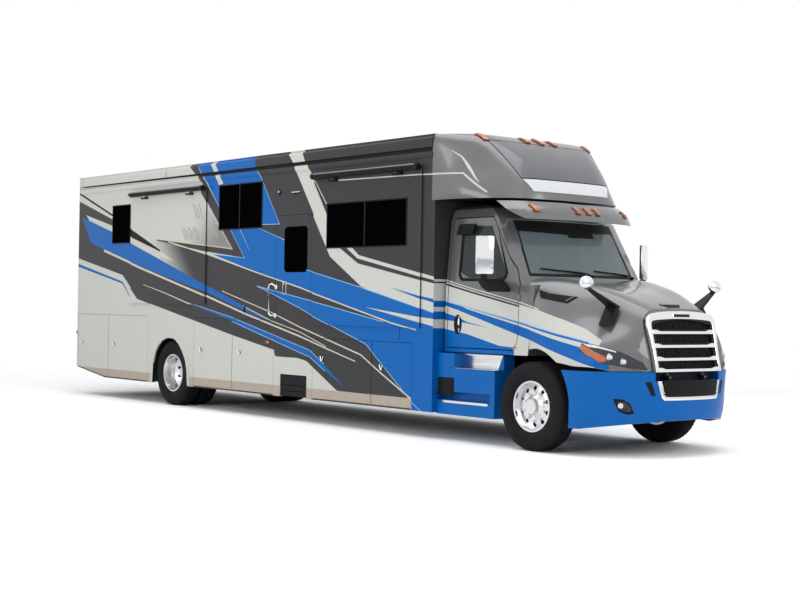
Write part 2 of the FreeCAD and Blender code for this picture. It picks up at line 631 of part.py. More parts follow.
def engine():
    """Plain block for the engine, between the rails, on two mounts."""
    rear, front, half, low, high = ENGINE_BOX
    body = span(rear, front, -half, half, low, high)
    m_rear, m_front, m_low, m_high = ENGINE_MOUNT
    mounts = [span(m_rear, m_front, side * (half - 10), side * (RAIL_Y - RAIL_T - SEAT_GAP),
                   RAIL_TOP_Z - m_low, RAIL_TOP_Z - m_high) for _, side in SIDES]
    return [body.multiFuse(mounts).removeSplitter()]


def tyre(y_centre):
    """Tyre as a revolved section with flat tread and rounded shoulders."""
    half = TYRE_W / 2
    bead = RIM_W / 2 - RIM_SEAT_IN - 2
    section = [(TYRE_BEAD_R, bead), (RIM_FLANGE_R + 1, bead + 4), (TYRE_BEAD_R + TYRE_BULGE / 3, half - 14),
               (TYRE_BEAD_R + TYRE_BULGE, half)]
    section += [(TYRE_R - drop, half - back) for drop, back in TYRE_SHOULDER]
    section += [(r, -y) for r, y in reversed(section)]
    ring = [V(0, y_centre + y, r) for r, y in section]
    return Part.Face(Part.makePolygon(ring + ring[:1])).revolve(V(0, y_centre, 0), V(0, 1, 0), 360)


def turned(section):
    """Solid of revolution about the wheel's axis from (radius, y) pairs."""
    ring = [V(0, y, r) for r, y in section]
    return Part.Face(Part.makePolygon(ring + ring[:1])).revolve(V(0, 0, 0), V(0, 1, 0), 360)


def turned_copies(tool, count):
    """Copies of a shape turned in equal steps round the wheel's axis."""
    copies = []
    for i in range(count):
        copy = tool.copy()
        copy.rotate(V(0, 0, 0), V(0, 1, 0), 360.0 * i / count)
        copies.append(copy)
    return copies


def rim_barrel(y_centre):
    """Rim barrel with its two flanges."""
    half = RIM_W / 2
    seat = TYRE_BEAD_R - SEAT_GAP
    barrel = turned([
        (seat - RIM_T, -half), (RIM_FLANGE_R, -half), (RIM_FLANGE_R, RIM_LIP_T - half), (seat, RIM_SEAT_IN - half),
        (seat, half - RIM_SEAT_IN), (RIM_FLANGE_R, half - RIM_LIP_T), (RIM_FLANGE_R, half), (seat - RIM_T, half),
    ])
    barrel.translate(V(0, y_centre, 0))
    return barrel


def rim(y_centre, disc_y, side, dish):
    """Wheel rim: barrel, a dished disc with hand holes, a capped hub and wheel nuts."""
    edge = TYRE_BEAD_R - SEAT_GAP - RIM_T + 3
    bore = SPINDLE_R + PIN_FIT
    shoulder = HUB_R + HUB_SHOULDER
    face = disc_y * side
    t = DISC_T / 2
    disc = turned([(bore, -t), (shoulder, -t), (edge, dish - t), (edge, dish + t), (shoulder, t), (bore, t)])
    disc.translate(V(0, face, 0))
    holes = turned_copies(rod(V(0, face - 60, HAND_HOLE_PITCH_R), V(0, 1, 0), HAND_HOLE_R, 120), HAND_HOLES)
    disc = disc.cut(Part.makeCompound(holes))
    profile = [(bore, -HUB_IN), (HUB_R - HUB_OUT / 2, -HUB_IN), (HUB_R, -t)]
    profile += [(HUB_R - less, out) for less, out in HUB_STEPS]
    profile += [(HUB_R - HUB_CAP_IN, HUB_OUT + HUB_CAP_T), (0.0, HUB_OUT + HUB_CAP_T), (0.0, HUB_OUT), (bore, HUB_OUT)]
    hub = turned([(r, y * side) for r, y in profile])
    hub.translate(V(0, face, 0))
    nuts = turned_copies(rod(V(0, face, LUG_PITCH_R), V(0, side, 0), LUG_R, LUG_L), HAND_HOLES)
    return rim_barrel(y_centre).multiFuse([disc, hub] + nuts)


def front_wheel(side):
    """Tyre and rim of one front wheel, the rim's disc near its outer side."""
    shapes = [tyre(side * FRONT_TRACK_Y),
              rim(side * FRONT_TRACK_Y, FRONT_TRACK_Y + FRONT_DISC_OUT, side, -DISC_DISH * side)]
    for shape in shapes:
        shape.translate(V(FRONT_AXLE_X, 0, TYRE_R))
    return shapes


def rear_wheels(side):
    """Twin tyres and rims of one rear corner, on one hub."""
    inner_y = REAR_OUTER_Y - DUAL_SPACING
    middle = inner_y + DUAL_SPACING / 2
    tyres = [tyre(side * REAR_OUTER_Y), tyre(side * inner_y)]
    outer = rim(side * REAR_OUTER_Y, middle + DISC_STEP, side, REAR_DISH * side)
    edge = TYRE_BEAD_R - SEAT_GAP - RIM_T + 3
    dish = -REAR_DISH * side
    t = 0.4 * DISC_T
    shoulder = HUB_R + HUB_SHOULDER
    root = HUB_R - HUB_SHOULDER / 2
    web = turned([(root, -t), (shoulder, -t), (edge, dish - t), (edge, dish + t), (shoulder, t), (root, t)])
    web.translate(V(0, side * (middle - DISC_STEP), 0))
    rims = outer.multiFuse([rim_barrel(side * inner_y), web])
    for shape in tyres + [rims]:
        shape.translate(V(REAR_AXLE_X, 0, TYRE_R))
    return tyres, rims


def knuckle(side):
    """Steering knuckle: kingpin, the yoke above and below the axle's boss, and the spindle."""
    base_z = TYRE_R - KINGPIN_BOSS_H / 2
    ear_t = KNUCKLE_PLATE_T
    x0, x1 = FRONT_AXLE_X - KNUCKLE_HALF, FRONT_AXLE_X + KNUCKLE_HALF
    y = side * KINGPIN_Y
    back = side * (KINGPIN_Y + KINGPIN_BOSS_R + KNUCKLE_PLAY)
    out = back + side * KNUCKLE_PLATE_T
    pin = rod(V(FRONT_AXLE_X, y, base_z - 1 - ear_t), V(0, 0, 1), KINGPIN_R, KINGPIN_BOSS_H + 2 + 2 * ear_t)
    ears = [block(x0, x1, side * (KINGPIN_Y - KNUCKLE_IN), out, z, z + ear_t)
            for z in (base_z - 1 - ear_t, base_z + KINGPIN_BOSS_H + 1)]
    plate = block(x0, x1, back, out, base_z - 1 - ear_t, base_z + KINGPIN_BOSS_H + 1 + ear_t)
    length = FRONT_TRACK_Y + FRONT_DISC_OUT + HUB_OUT - PANEL_GAP - abs(back)
    spindle = rod(V(FRONT_AXLE_X, back, TYRE_R), V(0, side, 0), SPINDLE_R, length)
    arm = block(FRONT_AXLE_X - STEER_ARM_L, x0 + 1, side * (KINGPIN_Y - KNUCKLE_IN), side * KINGPIN_Y,
                base_z - 1 - ear_t, base_z - 1)
    return [pin.multiFuse(ears + [plate, spindle, arm]).removeSplitter()]


def baggage_doors():
    """Side-hinged luggage doors, numbered from the rear on each side."""
    for name, side in SIDES:
        number = 0
        for rear, split, front, top in BAYS:
            for door_rear, door_front in ((rear, split), (split, front)):
                number += 1
                low = SKIRT_Z + BAY_FLOOR_T + PANEL_GAP
                panel = skirt_prism(door_rear - PANEL_GAP, door_front + PANEL_GAP, BAY_FLOOR_T + PANEL_GAP,
                                    top - PANEL_GAP, -HALF_WIDTH, -HALF_WIDTH + BAGGAGE_DOOR_T)
                latch_d = door_rear - PANEL_GAP - 1.6 * LATCH_W
                latch = span(latch_d + LATCH_W, latch_d, -HALF_WIDTH - LATCH_T, -HALF_WIDTH + 1,
                             top - LATCH_DOWN - LATCH_H, top - LATCH_DOWN)
                axis = V(aft(door_front + PANEL_GAP + HINGE_INSET), -HALF_WIDTH + HINGE_INSET, 0)
                upper = rod(axis.add(V(0, 0, top - PANEL_GAP - 1)), V(0, 0, 1), HINGE_PIN_R, HINGE_PIN_L + PANEL_GAP)
                lower = rod(axis.add(V(0, 0, low + 1)), V(0, 0, -1), HINGE_PIN_R, HINGE_PIN_L + PANEL_GAP)
                door = panel.multiFuse([latch, upper, lower]).removeSplitter()
                write("baggage_door_%s_%d" % (name, number), [on_side(door, side)])


def hinge_bores(side):
    """Cutting tools for every baggage door pin on one side."""
    tools = []
    for rear, split, front, top in BAYS:
        for door_front in (split, front):
            axis = V(aft(door_front + PANEL_GAP + HINGE_INSET), -HALF_WIDTH + HINGE_INSET, 0)
            for z in (SKIRT_Z - 1, top - 2):
                tools.append(rod(axis.add(V(0, 0, z)), V(0, 0, 1), HINGE_PIN_R + PIN_FIT, BAY_FLOOR_T + 6))
    return [on_side(t, side) for t in tools]


def wheel_housing(side_y0, side_y1):
    """Squared arch with rounded upper corners, cut through the skirt at the rear axle."""
    tool = block(REAR_AXLE_X - ARCH_HALF, REAR_AXLE_X + ARCH_HALF, side_y0, side_y1, 0, ARCH_TOP_Z)
    tops = [e for e in tool.Edges if along("y")(e) and e.Vertexes[0].Point.z > ARCH_TOP_Z - 1]
    return tool.makeFillet(ARCH_CORNER_R, tops)


def rounded_opening(rear, front, low, high, radius, y0, y1):
    """Rectangular through cut with rounded corners, seen from the side."""
    return rounded_edges(span(rear, front, y0, y1, low, high), radius, along("y"))


def side_wall(side):
    """House side with the openings for bays, wheels, windows, door and slide-outs."""
    rear = WHEELBASE + REAR_OVERHANG - REAR_WALL_T
    wall = skirt_prism(rear, HOUSE_FRONT, 0.0, WALL_TOP_Z, -HALF_WIDTH, -INNER_Y)
    y0, y1 = -HALF_WIDTH - 10, -INNER_Y + 10
    cuts = [wheel_housing(y0, y1)]
    for bay_rear, _, bay_front, top in BAYS:
        cuts.append(span(bay_rear, bay_front, y0, y1, SKIRT_Z - 1, top))
    cuts.append(span(*REAR_WINDOW[:2], y0, y1, *REAR_WINDOW[2:]))
    cuts.append(span(*BEDROOM_WINDOW[:2], y0, y1, *BEDROOM_WINDOW[2:]))
    if side < 0:
        cuts.append(span(*REAR_SLIDE[:2], y0, y1, *REAR_SLIDE[2:4]))
        cuts.append(span(*FRONT_SLIDE[:2], y0, y1, *FRONT_SLIDE[2:4]))
        cuts.append(rounded_opening(*ENTRY_DOOR, ENTRY_CORNER_R, y0, y1))
        cuts.append(span(STEP_BOX[0], STEP_BOX[1], y0, y1, SKIRT_Z - 1, STEP_BOX[3]))
    else:
        cuts.append(span(*SLIDE_WINDOW[:2], y0, y1, *SLIDE_WINDOW[2:]))
    wall = wall.cut(Part.makeCompound(cuts))
    wall = on_side(wall, side)
    bores = hinge_bores(side)
    if side < 0:
        bores += entry_bores()
    return [wall.cut(Part.makeCompound(bores))]


def entry_axis():
    """Hinge line of the entry door, at its front edge."""
    return V(aft(ENTRY_DOOR[1] + PANEL_GAP + HINGE_INSET), -HALF_WIDTH + HINGE_INSET, 0)


def entry_bores():
    """Holes for the entry door's pins in the wall, and the room its turning corners need."""
    low, high = ENTRY_DOOR[2], ENTRY_DOOR[3]
    length = ENTRY_CORNER_R + 2 * HINGE_PIN_L
    starts = (low - 2 * HINGE_PIN_L, high - ENTRY_CORNER_R)
    bores = [rod(entry_axis().add(V(0, 0, z)), V(0, 0, 1), HINGE_PIN_R + PIN_FIT, length) for z in starts]
    reliefs = [rod(entry_axis().add(V(0, 0, z)), V(0, 0, 1), ENTRY_RELIEF_R, ENTRY_CORNER_R)
               for z in (low, high - ENTRY_CORNER_R)]
    return bores + reliefs


def entry_door():
    """Entry door panel with its window, latch and hinge pins, and its glass."""
    rear, front, low, high = ENTRY_DOOR
    panel = rounded_edges(span(rear - PANEL_GAP, front + PANEL_GAP, -HALF_WIDTH, -HALF_WIDTH + ENTRY_DOOR_T,
                               low + PANEL_GAP, high - PANEL_GAP), ENTRY_CORNER_R - PANEL_GAP, along("y"))
    hole = rounded_opening(*ENTRY_GLASS, ENTRY_GLASS_R, -HALF_WIDTH - 10, -INNER_Y + 10)
    glass = hole.common(span(rear, front, -HALF_WIDTH - WINDOW_PROUD, -HALF_WIDTH + WINDOW_T, low, high))
    latch = span(*ENTRY_LATCH[:2], -HALF_WIDTH - ENTRY_LATCH_OUT, -HALF_WIDTH + 1, *ENTRY_LATCH[2:])
    root = PANEL_GAP + ENTRY_CORNER_R
    pins = [rod(entry_axis().add(V(0, 0, high - root)), V(0, 0, 1), HINGE_PIN_R, root + HINGE_PIN_L),
            rod(entry_axis().add(V(0, 0, low + root)), V(0, 0, -1), HINGE_PIN_R, root + HINGE_PIN_L)]
    door = panel.cut(hole).multiFuse([latch] + pins)
    return [door], [glass]


def rear_wall():
    """House rear end with rounded vertical corners."""
    rear = WHEELBASE + REAR_OVERHANG
    wall = span(rear, rear - REAR_WALL_T, -HALF_WIDTH, HALF_WIDTH, SKIRT_RISE[1], ROOF_TOP_Z)
    back = [e for e in wall.Edges if along("z")(e) and e.Vertexes[0].Point.x < aft(rear) + 1]
    return [wall.makeFillet(REAR_CORNER_R, back)]


def front_bulkhead():
    """House front wall with the way through to the cab and the cap's loft."""
    wall = span(HOUSE_FRONT, HOUSE_FRONT - BULKHEAD_T, -HALF_WIDTH, HALF_WIDTH, SKIRT_Z, CAP_LEVELS[0][0] - SEAT_GAP)
    ends = (HOUSE_FRONT + 1, HOUSE_FRONT - BULKHEAD_T - 1)
    half, sill, head = BULKHEAD_WAY
    cab_way = span(*ends, -half, half, sill, head)
    frame = span(*ends, -RAIL_Y - RAIL_PLAY, RAIL_Y + RAIL_PLAY, 0, RAIL_TOP_Z + RAIL_PLAY)
    return [wall.cut(cab_way).cut(frame)]


def house_floor():
    """Floor on two levels, with the guides that the slide-out rooms run on."""
    rear = WHEELBASE + REAR_OVERHANG - REAR_WALL_T
    rear_slab = span(rear, FLOOR_STEP - WALL_T, -INNER_Y, INNER_Y, REAR_FLOOR_LOW_Z, REAR_FLOOR_LOW_Z + FLOOR_T)
    riser = span(FLOOR_STEP, FLOOR_STEP - WALL_T, -INNER_Y, INNER_Y, FRONT_FLOOR_LOW_Z,
                 REAR_FLOOR_LOW_Z + FLOOR_T)
    front_slab = span(FLOOR_STEP, HOUSE_FRONT, -INNER_Y, INNER_Y, FRONT_FLOOR_LOW_Z, FRONT_FLOOR_LOW_Z + FLOOR_T)
    well = span(FLOOR_STEP - WALL_T, ENTRY_DOOR[1], -INNER_Y - 1, -STEP_WELL_Y, FRONT_FLOOR_LOW_Z - 1,
                FRONT_FLOOR_LOW_Z + FLOOR_T + 1)
    parts = [rear_slab, riser, front_slab.cut(well)]
    for slide, floor_top in ((REAR_SLIDE, REAR_FLOOR_LOW_Z + FLOOR_T), (FRONT_SLIDE, FRONT_FLOOR_LOW_Z + FLOOR_T)):
        slide_rear, slide_front, sill, _, stroke = slide
        inner_end = -HALF_WIDTH + stroke + WALL_T + SLIDE_INSET
        for d in (slide_rear - GUIDE_INSET, slide_front + GUIDE_INSET + GUIDE_W):
            parts.append(span(d, d - GUIDE_W, -INNER_Y, inner_end, floor_top, sill + SLIDE_CLEAR - SEAT_GAP))
    return [parts[0].multiFuse(parts[1:]).removeSplitter()]


def slide_room(slide):
    """Slide-out room: flanged outer wall, floor, roof and ends, with its topper roller and brackets."""
    rear, front, sill, head, stroke = slide
    face = -HALF_WIDTH - PANEL_GAP - SLIDE_FLANGE_T
    inner_end = -HALF_WIDTH + stroke + WALL_T + SLIDE_INSET
    c = SLIDE_CLEAR
    body = span(rear - c, front + c, face, inner_end, sill + c, head - c)
    hollow = span(rear - c - SLIDE_SKIN_T, front + c + SLIDE_SKIN_T, face + SLIDE_INSET, inner_end + 1,
                  sill + c + SLIDE_SKIN_T, head - c - SLIDE_SKIN_T)
    f = SLIDE_FLANGE
    flange = span(rear + f, front - f, face, face + SLIDE_FLANGE_T, sill - f, head + f)
    return body.cut(hollow).fuse(flange).removeSplitter()


def topper(slide):
    """Awning roller over a slide-out, on two arms from its outer wall."""
    rear, front, _, head, _ = slide
    face = -HALF_WIDTH - PANEL_GAP - SLIDE_FLANGE_T
    y = face - TOPPER_OUT
    gap, t = TOPPER_INSET, TOPPER_ARM_T
    roller = rod(V(aft(rear - gap), y, TOPPER_Z), V(1, 0, 0), TOPPER_R, rear - front - 2 * gap)
    low = TOPPER_Z - TOPPER_R
    arms = []
    for d in (rear - gap - PANEL_GAP, front + gap + PANEL_GAP + t):
        arms.append(span(d, d - t, face + 1, y - TOPPER_R, low - t / 2, TOPPER_Z + TOPPER_R))
    inset, width, depth = TOPPER_BRACKET
    for d in (rear - inset, front + inset + width):
        arms.append(span(d, d - width, face + 1, y, low - depth, low + depth / 2))
    return roller.multiFuse(arms)


def slide_rooms():
    """Both slide-outs and the window in the front one."""
    rear_room = slide_room(REAR_SLIDE).fuse(topper(REAR_SLIDE))
    front_room = slide_room(FRONT_SLIDE).fuse(topper(FRONT_SLIDE))
    face = -HALF_WIDTH - PANEL_GAP - SLIDE_FLANGE_T
    hole = span(*SLIDE_WINDOW[:2], face - 10, face + SLIDE_INSET + 10, *SLIDE_WINDOW[2:])
    pane = span(*SLIDE_WINDOW[:2], face - WINDOW_PROUD, face + WINDOW_T, *SLIDE_WINDOW[2:])
    write("slide_room_rear", [rear_room])
    write("slide_room_front", [front_room.cut(hole)])
    write("slide_window", [pane])


def wall_windows():
    """Flush dark windows of the fixed walls."""
    panes = []
    for _, side in SIDES:
        for window in (REAR_WINDOW, BEDROOM_WINDOW):
            pane = span(*window[:2], -HALF_WIDTH - WINDOW_PROUD, -HALF_WIDTH + WINDOW_T, *window[2:])
            panes.append(on_side(pane, side))
    panes.append(span(*SLIDE_WINDOW[:2], HALF_WIDTH + WINDOW_PROUD, HALF_WIDTH - WINDOW_T, *SLIDE_WINDOW[2:]))
    return panes


def roof():
    """Roof slab on two edge rails, the left one finished as a rounded fascia."""
    rear = WHEELBASE + REAR_OVERHANG - REAR_WALL_T
    slab = span(rear, HOUSE_FRONT, -AWNING_CASE_IN_Y, AWNING_CASE_IN_Y, ROOF_TOP_Z - ROOF_T, ROOF_TOP_Z)
    rails = [span(rear, HOUSE_FRONT, side * ROOF_RAIL_Y, side * AWNING_CASE_IN_Y, WALL_TOP_Z, ROOF_TOP_Z - ROOF_T)
             for _, side in SIDES]
    left = span(rear, HOUSE_FRONT, AWNING_CASE_IN_Y, HALF_WIDTH, WALL_TOP_Z, EDGE_TOP_Z)
    top = [e for e in left.Edges if along("x")(e) and e.Vertexes[0].Point.y > HALF_WIDTH - 1
           and e.Vertexes[0].Point.z > EDGE_TOP_Z - 1]
    pad_d, pad_half, pad_h = ROOF_PAD
    pad = span(pad_d + pad_half, pad_d - pad_half, -pad_half, pad_half, ROOF_TOP_Z - 1, ROOF_TOP_Z + pad_h)
    return [slab.multiFuse(rails + [left.makeFillet(ROOF_EDGE_R, top), pad]).removeSplitter()]


def awning_case():
    """Long patio awning case along the right roof edge, over its dark lead rail."""
    rear = WHEELBASE + REAR_OVERHANG - REAR_WALL_T
    case = span(rear, HOUSE_FRONT, -HALF_WIDTH - AWNING_PROUD, -AWNING_CASE_IN_Y, CASE_LOW_Z, EDGE_TOP_Z)
    edges = [e for e in case.Edges if along("x")(e) and e.Vertexes[0].Point.y < -HALF_WIDTH
             and e.Vertexes[0].Point.z > EDGE_TOP_Z - 1]
    rail = span(rear, HOUSE_FRONT, -HALF_WIDTH + AWNING_RAIL_SET, -AWNING_CASE_IN_Y, WALL_TOP_Z, CASE_LOW_Z)
    return [case.makeFillet(AWNING_EDGE_R, edges).fuse(rail)]


def roof_units():
    """Low-profile air conditioner shrouds on the roof."""
    length, width, height = ROOF_UNIT
    units = []
    for d in ROOF_UNIT_AT:
        shroud = span(d + length / 2, d - length / 2, -width / 2, width / 2, ROOF_TOP_Z, ROOF_TOP_Z + height)
        tops = [e for e in shroud.Edges if e.CenterOfMass.z > ROOF_TOP_Z + 1]
        units.append(shroud.makeFillet(ROOF_UNIT_R, tops))
    return units


def basement_bays():
    """Luggage bays under the floor, open to the side."""
    t = BAY_FLOOR_T
    trays = []
    for _, side in SIDES:
        for rear, _, front, top in BAYS:
            outer = skirt_prism(rear, front, 0.0, top, -HALF_WIDTH + PANEL_GAP, -BAY_INNER_Y)
            hollow = skirt_prism(rear - t, front + t, t, top + 1, -HALF_WIDTH, -BAY_INNER_Y - t)
            post = skirt_prism(rear, front, t, top + 1, -HALF_WIDTH - 1, -INNER_Y)
            trays.append(on_side(outer.cut(hollow).cut(post), side).cut(Part.makeCompound(hinge_bores(side))))
    return trays


def entry_steps():
    """Inner step well behind the entry door, and the housing of the folded outer step under it."""
    rear, front, low, _ = ENTRY_DOOR
    inner_rear = FLOOR_STEP - WALL_T
    t = STEP_PLATE_T
    well = span(inner_rear, front, -INNER_Y, -STEP_WELL_Y, low - t, FRONT_FLOOR_LOW_Z)
    well = well.cut(span(inner_rear - t, front + t, -INNER_Y - 1, -STEP_WELL_Y - t, low, FRONT_FLOOR_LOW_Z + 1))
    deep, high = INNER_STEP
    tread = span(inner_rear, front, -STEP_WELL_Y - deep, -STEP_WELL_Y, low, low + high)
    b_rear, b_front, b_low, b_high = STEP_BOX
    outer_y = -HALF_WIDTH + STEP_SETBACK
    cheeks = []
    for d in (b_rear - 1, b_front + 1 + t):
        cheeks.append(span(d, d - t, outer_y, -STEP_BOX_INNER_Y, b_low, b_high - 1))
        cheeks.append(span(d, d - t, -INNER_Y + SEAT_GAP, -STEP_BOX_INNER_Y, b_low, low - t))
    lid = span(b_rear - 1, b_front + 1, outer_y + WALL_T, -STEP_BOX_INNER_Y, b_high - t, b_high)
    drop, rise, strip_t = STEP_STRIP
    treads = [span(b_rear - 1, b_front + 1, outer_y + strip_t - 1, -STEP_BOX_INNER_Y - 5 * t, z, z + OUTER_TREAD_T)
              for z in OUTER_TREADS]
    fascia = [span(b_rear - 1, b_front + 1, outer_y, outer_y + strip_t, z - drop, z + rise) for z in STEP_STRIPS]
    return [well.multiFuse([tread] + cheeks + [lid] + treads + fascia).removeSplitter()]


def front_cap():
    """Moulded cap over the cab, hollow and open to the house behind it."""
    outer = plan_loft(CAP_LEVELS, 0.0, -1, False)
    low, high = CAP_LEVELS[0], CAP_LEVELS[-1]
    t = CAP_SKIN_T
    levels = [(low[0] + t, low[1])] + list(CAP_LEVELS[1:-1]) + [(high[0] - t, high[1])]
    inner = plan_loft(levels, t, -1, False)
    rear = span(HOUSE_FRONT + t + 1, HOUSE_FRONT, -HALF_WIDTH, HALF_WIDTH, low[0] - 1, high[0] + 1)
    return [outer.cut(inner).cut(rear)]


def cab_wire(level, inset, side_inset):
    """Plan outline of the cab at one height: straight sides and a bowed front."""
    z, side_front, middle_front, half = level
    xr = aft(CAB_REAR - inset)
    xs = aft(side_front + inset)
    xm = aft(middle_front + inset)
    y = half - side_inset
    a, b, c, d = V(xr, -y, z), V(xs, -y, z), V(xs, y, z), V(xr, y, z)
    if abs(xm - xs) < 1.0:
        front = Part.makeLine(b, c)
    else:
        front = Part.Arc(b, V(xm, 0, z), c).toShape()
    return Part.Wire([Part.makeLine(a, b), front, Part.makeLine(c, d), Part.makeLine(d, a)])


def cab_solid(inset, side_inset):
    """Envelope of the cab, moved in from its outside by the insets, or out where they are negative."""
    bottom, cowl = CAB_LOWER_LEVELS
    lower = [(bottom[0] + inset,) + bottom[1:], (cowl[0] - inset,) + cowl[1:]]
    first, last = CAB_UPPER_LEVELS[0], CAB_UPPER_LEVELS[-1]
    upper = [(first[0] - 2 * max(inset, 0.0),) + first[1:]]
    upper.extend(CAB_UPPER_LEVELS[1:-1])
    upper.append((last[0] - inset,) + last[1:])
    low = Part.makeLoft([cab_wire(level, inset, side_inset) for level in lower], True, True)
    high = Part.makeLoft([cab_wire(level, inset, side_inset) for level in upper], True, True)
    return low.fuse(high)


def grown(points, amount):
    """Side outline moved outwards by amount, about its own middle."""
    face = Part.Face(Part.makePolygon([V(d, z, 0) for d, z in points + points[:1]]))
    wire = face.OuterWire.makeOffset2D(amount, 2)
    return [(v.Point.x, v.Point.y) for v in wire.OrderedVertexes]


def windshield_outline():
    """Front outline of the windshield opening as (y, z) pairs."""
    (y0, z0), (y1, z1) = WINDSHIELD_LOW, WINDSHIELD_HIGH
    return [(-y0, z0), (y0, z0), (y1, z1), (-y1, z1)]


def cab_hinge(radius, height, z):
    """Upright cylinder on the right cab door's hinge line, centred on one of its hinges."""
    d, y = CAB_HINGE
    return rod(V(aft(d), -y, z - height / 2), V(0, 0, 1), radius, height)


def cab_hinge_recesses():
    """Openings in the right door's front edge for the pillar's hinge ears."""
    d, _ = CAB_HINGE
    high = CAB_HINGE_H + 2 * PANEL_GAP
    return [span(d + CAB_HINGE_RECESS, d - 2 * CAB_HINGE_RECESS, -HALF_WIDTH, -1000, z - high / 2, z + high / 2)
            for z in CAB_HINGE_HEIGHTS]


def cab_hinge_ears():
    """Ears that reach back from the right pillar to the hinge line."""
    d, y = CAB_HINGE
    ears = []
    for z in CAB_HINGE_HEIGHTS:
        web = span(d, CAB_DOOR_OUTLINE[4][0] - CAB_DOOR_GAP - 20, -y - CAB_HINGE_EAR_R + 2, -y + CAB_HINGE_EAR_R,
                   z - CAB_HINGE_H / 2, z + CAB_HINGE_H / 2)
        ear = cab_hinge(CAB_HINGE_EAR_R, CAB_HINGE_H, z).fuse(web)
        ears.append(ear.cut(cab_hinge(CAB_HINGE_PIN_R + PIN_FIT, 2 * CAB_HINGE_H, z)))
    return ears


def cab_door(outer, glass_skin):
    """Right cab door with its hinge pins, and its window glass."""
    zone = side_prism(CAB_DOOR_OUTLINE, -HALF_WIDTH, -CAB_DOOR_INNER_Y)
    glass_zone = side_prism(CAB_GLASS_OUTLINE, -HALF_WIDTH, -CAB_DOOR_INNER_Y)
    panel = outer.common(zone).cut(cab_solid(0.0, CAB_SKIN_T))
    glass = panel.common(glass_zone).common(glass_skin)
    panel = panel.cut(glass_zone).cut(Part.makeCompound(cab_hinge_recesses()))
    pins = [cab_hinge(CAB_HINGE_PIN_R, 2 * CAB_HINGE_H, z) for z in CAB_HINGE_HEIGHTS]
    return panel.multiFuse(pins), glass


def cab():
    """Cab shell, doors, glass and windshield, split where the real panels meet."""
    outer = cab_solid(0.0, 0.0)
    shell = outer.cut(cab_solid(CAB_SKIN_T, CAB_SKIN_T))
    way, sill, head = CAB_WAY
    shell = shell.cut(span(CAB_REAR + 1, CAB_REAR - CAB_SKIN_T - 1, -way, way, sill, head))
    windshield_hole = front_prism(windshield_outline(), aft(1000), aft(-100))
    deep = GLASS_INSET + GLASS_T
    glass_skin = cab_solid(GLASS_INSET, GLASS_INSET).cut(cab_solid(deep, deep))
    windshield = shell.common(windshield_hole).common(glass_skin)
    shell = shell.cut(windshield_hole)
    hole = side_prism(grown(list(CAB_DOOR_OUTLINE), CAB_DOOR_GAP), -HALF_WIDTH, -CAB_DOOR_INNER_Y)
    door, glass = cab_door(outer, glass_skin)
    posts = []
    for _, side in SIDES:
        shell = shell.cut(on_side(hole, side))
        shell = shell.multiFuse([on_side(ear, side) for ear in cab_hinge_ears()])
        for d in (CAB_REAR - 10, CAB_POST_FRONT):
            posts.append(span(d, d - CAB_POST_W, side * (RAIL_Y - RAIL_W), side * RAIL_Y, RAIL_TOP_Z, CAB_LOW_Z))
    write("cab_shell", [shell.multiFuse(posts)])
    write("windshield", [windshield])
    mirror = door_mirror().cut(cab_solid(-SEAT_GAP, -SEAT_GAP))
    for name, side in SIDES:
        write("cab_door_%s" % name, [on_side(door, side)])
        write("cab_door_glass_%s" % name, [on_side(glass, side)])
        write("door_mirror_%s" % name, [on_side(mirror, side)])


def door_mirror():
    """Tall chromed mirror head on an arm from the door's front corner."""
    d, out = MIRROR_AT
    deep, wide = MIRROR_HALF
    low, high = MIRROR_Z
    head = rounded_edges(block(-deep, deep, -wide, wide, low, high), MIRROR_CORNER_R, along("z"))
    head.rotate(V(0, 0, 0), V(0, 0, 1), -MIRROR_TURN)
    head.translate(V(aft(d), -out, 0))
    arm = side_prism(MIRROR_ARM, -out - deep, -CAB_HINGE[1] + CAB_HINGE_EAR_R)
    stem = block(aft(d + deep), aft(d - deep / 2), -out - deep, -out + deep, MIRROR_STEM_Z, low + PANEL_GAP)
    return head.multiFuse([arm, stem])


def hood_wire(level, inset):
    """Cross-section of the hood at one station."""
    station, half = level
    x = FRONT_AXLE_X + station

    def place(y, z):
        return V(x, -(y - inset * (y > 0)), z - (inset if z > HOOD_SILL_Z + 1 else 0.0))
    return smooth_wire(half, place)


def nose_plane_cut():
    """Block ahead of the leaning nose plane, which trims the hood."""
    (x0, z0), (x1, z1) = NOSE_LOW, NOSE_HIGH
    slope = (x1 - x0) / (z1 - z0)
    low_z, high_z = 0.0, 3000.0
    pts = [(x0 + slope * (low_z - z0), low_z), (x0 + slope * (high_z - z0), high_z), (3000, high_z), (3000, low_z)]
    return side_prism([(-x, z) for x, z in pts], -2000, 2000)


def hood_cross_bar():
    """Bar across the hood's nose with an ear on each side for the tilt pins."""
    rear, front, half, low, high = HOOD_BAR
    bar = block(FRONT_AXLE_X + rear, FRONT_AXLE_X + front, -half, half, low, high)
    x, z = HOOD_PIVOT
    web = [(-x + HOOD_EAR_R, z), (-x, z + HOOD_EAR_R), (-x + HOOD_EAR_R, z + 1.6 * HOOD_EAR_R), (-front, high),
           (-rear, high), (-rear, low)]
    parts = []
    for _, side in SIDES:
        y0, y1 = side * HOOD_EAR_Y, side * (HOOD_EAR_Y - HOOD_EAR_T)
        tip = rod(V(FRONT_AXLE_X + x, y0, z), V(0, -side, 0), HOOD_EAR_R, HOOD_EAR_T)
        parts.append(side_prism(web, y0, y1))
        parts.append(tip)
    whole = bar.multiFuse(parts)
    return whole.cut(rod(V(FRONT_AXLE_X + x, -half, z), V(0, 1, 0), HOOD_PIN_R + PIN_FIT, 2 * half))


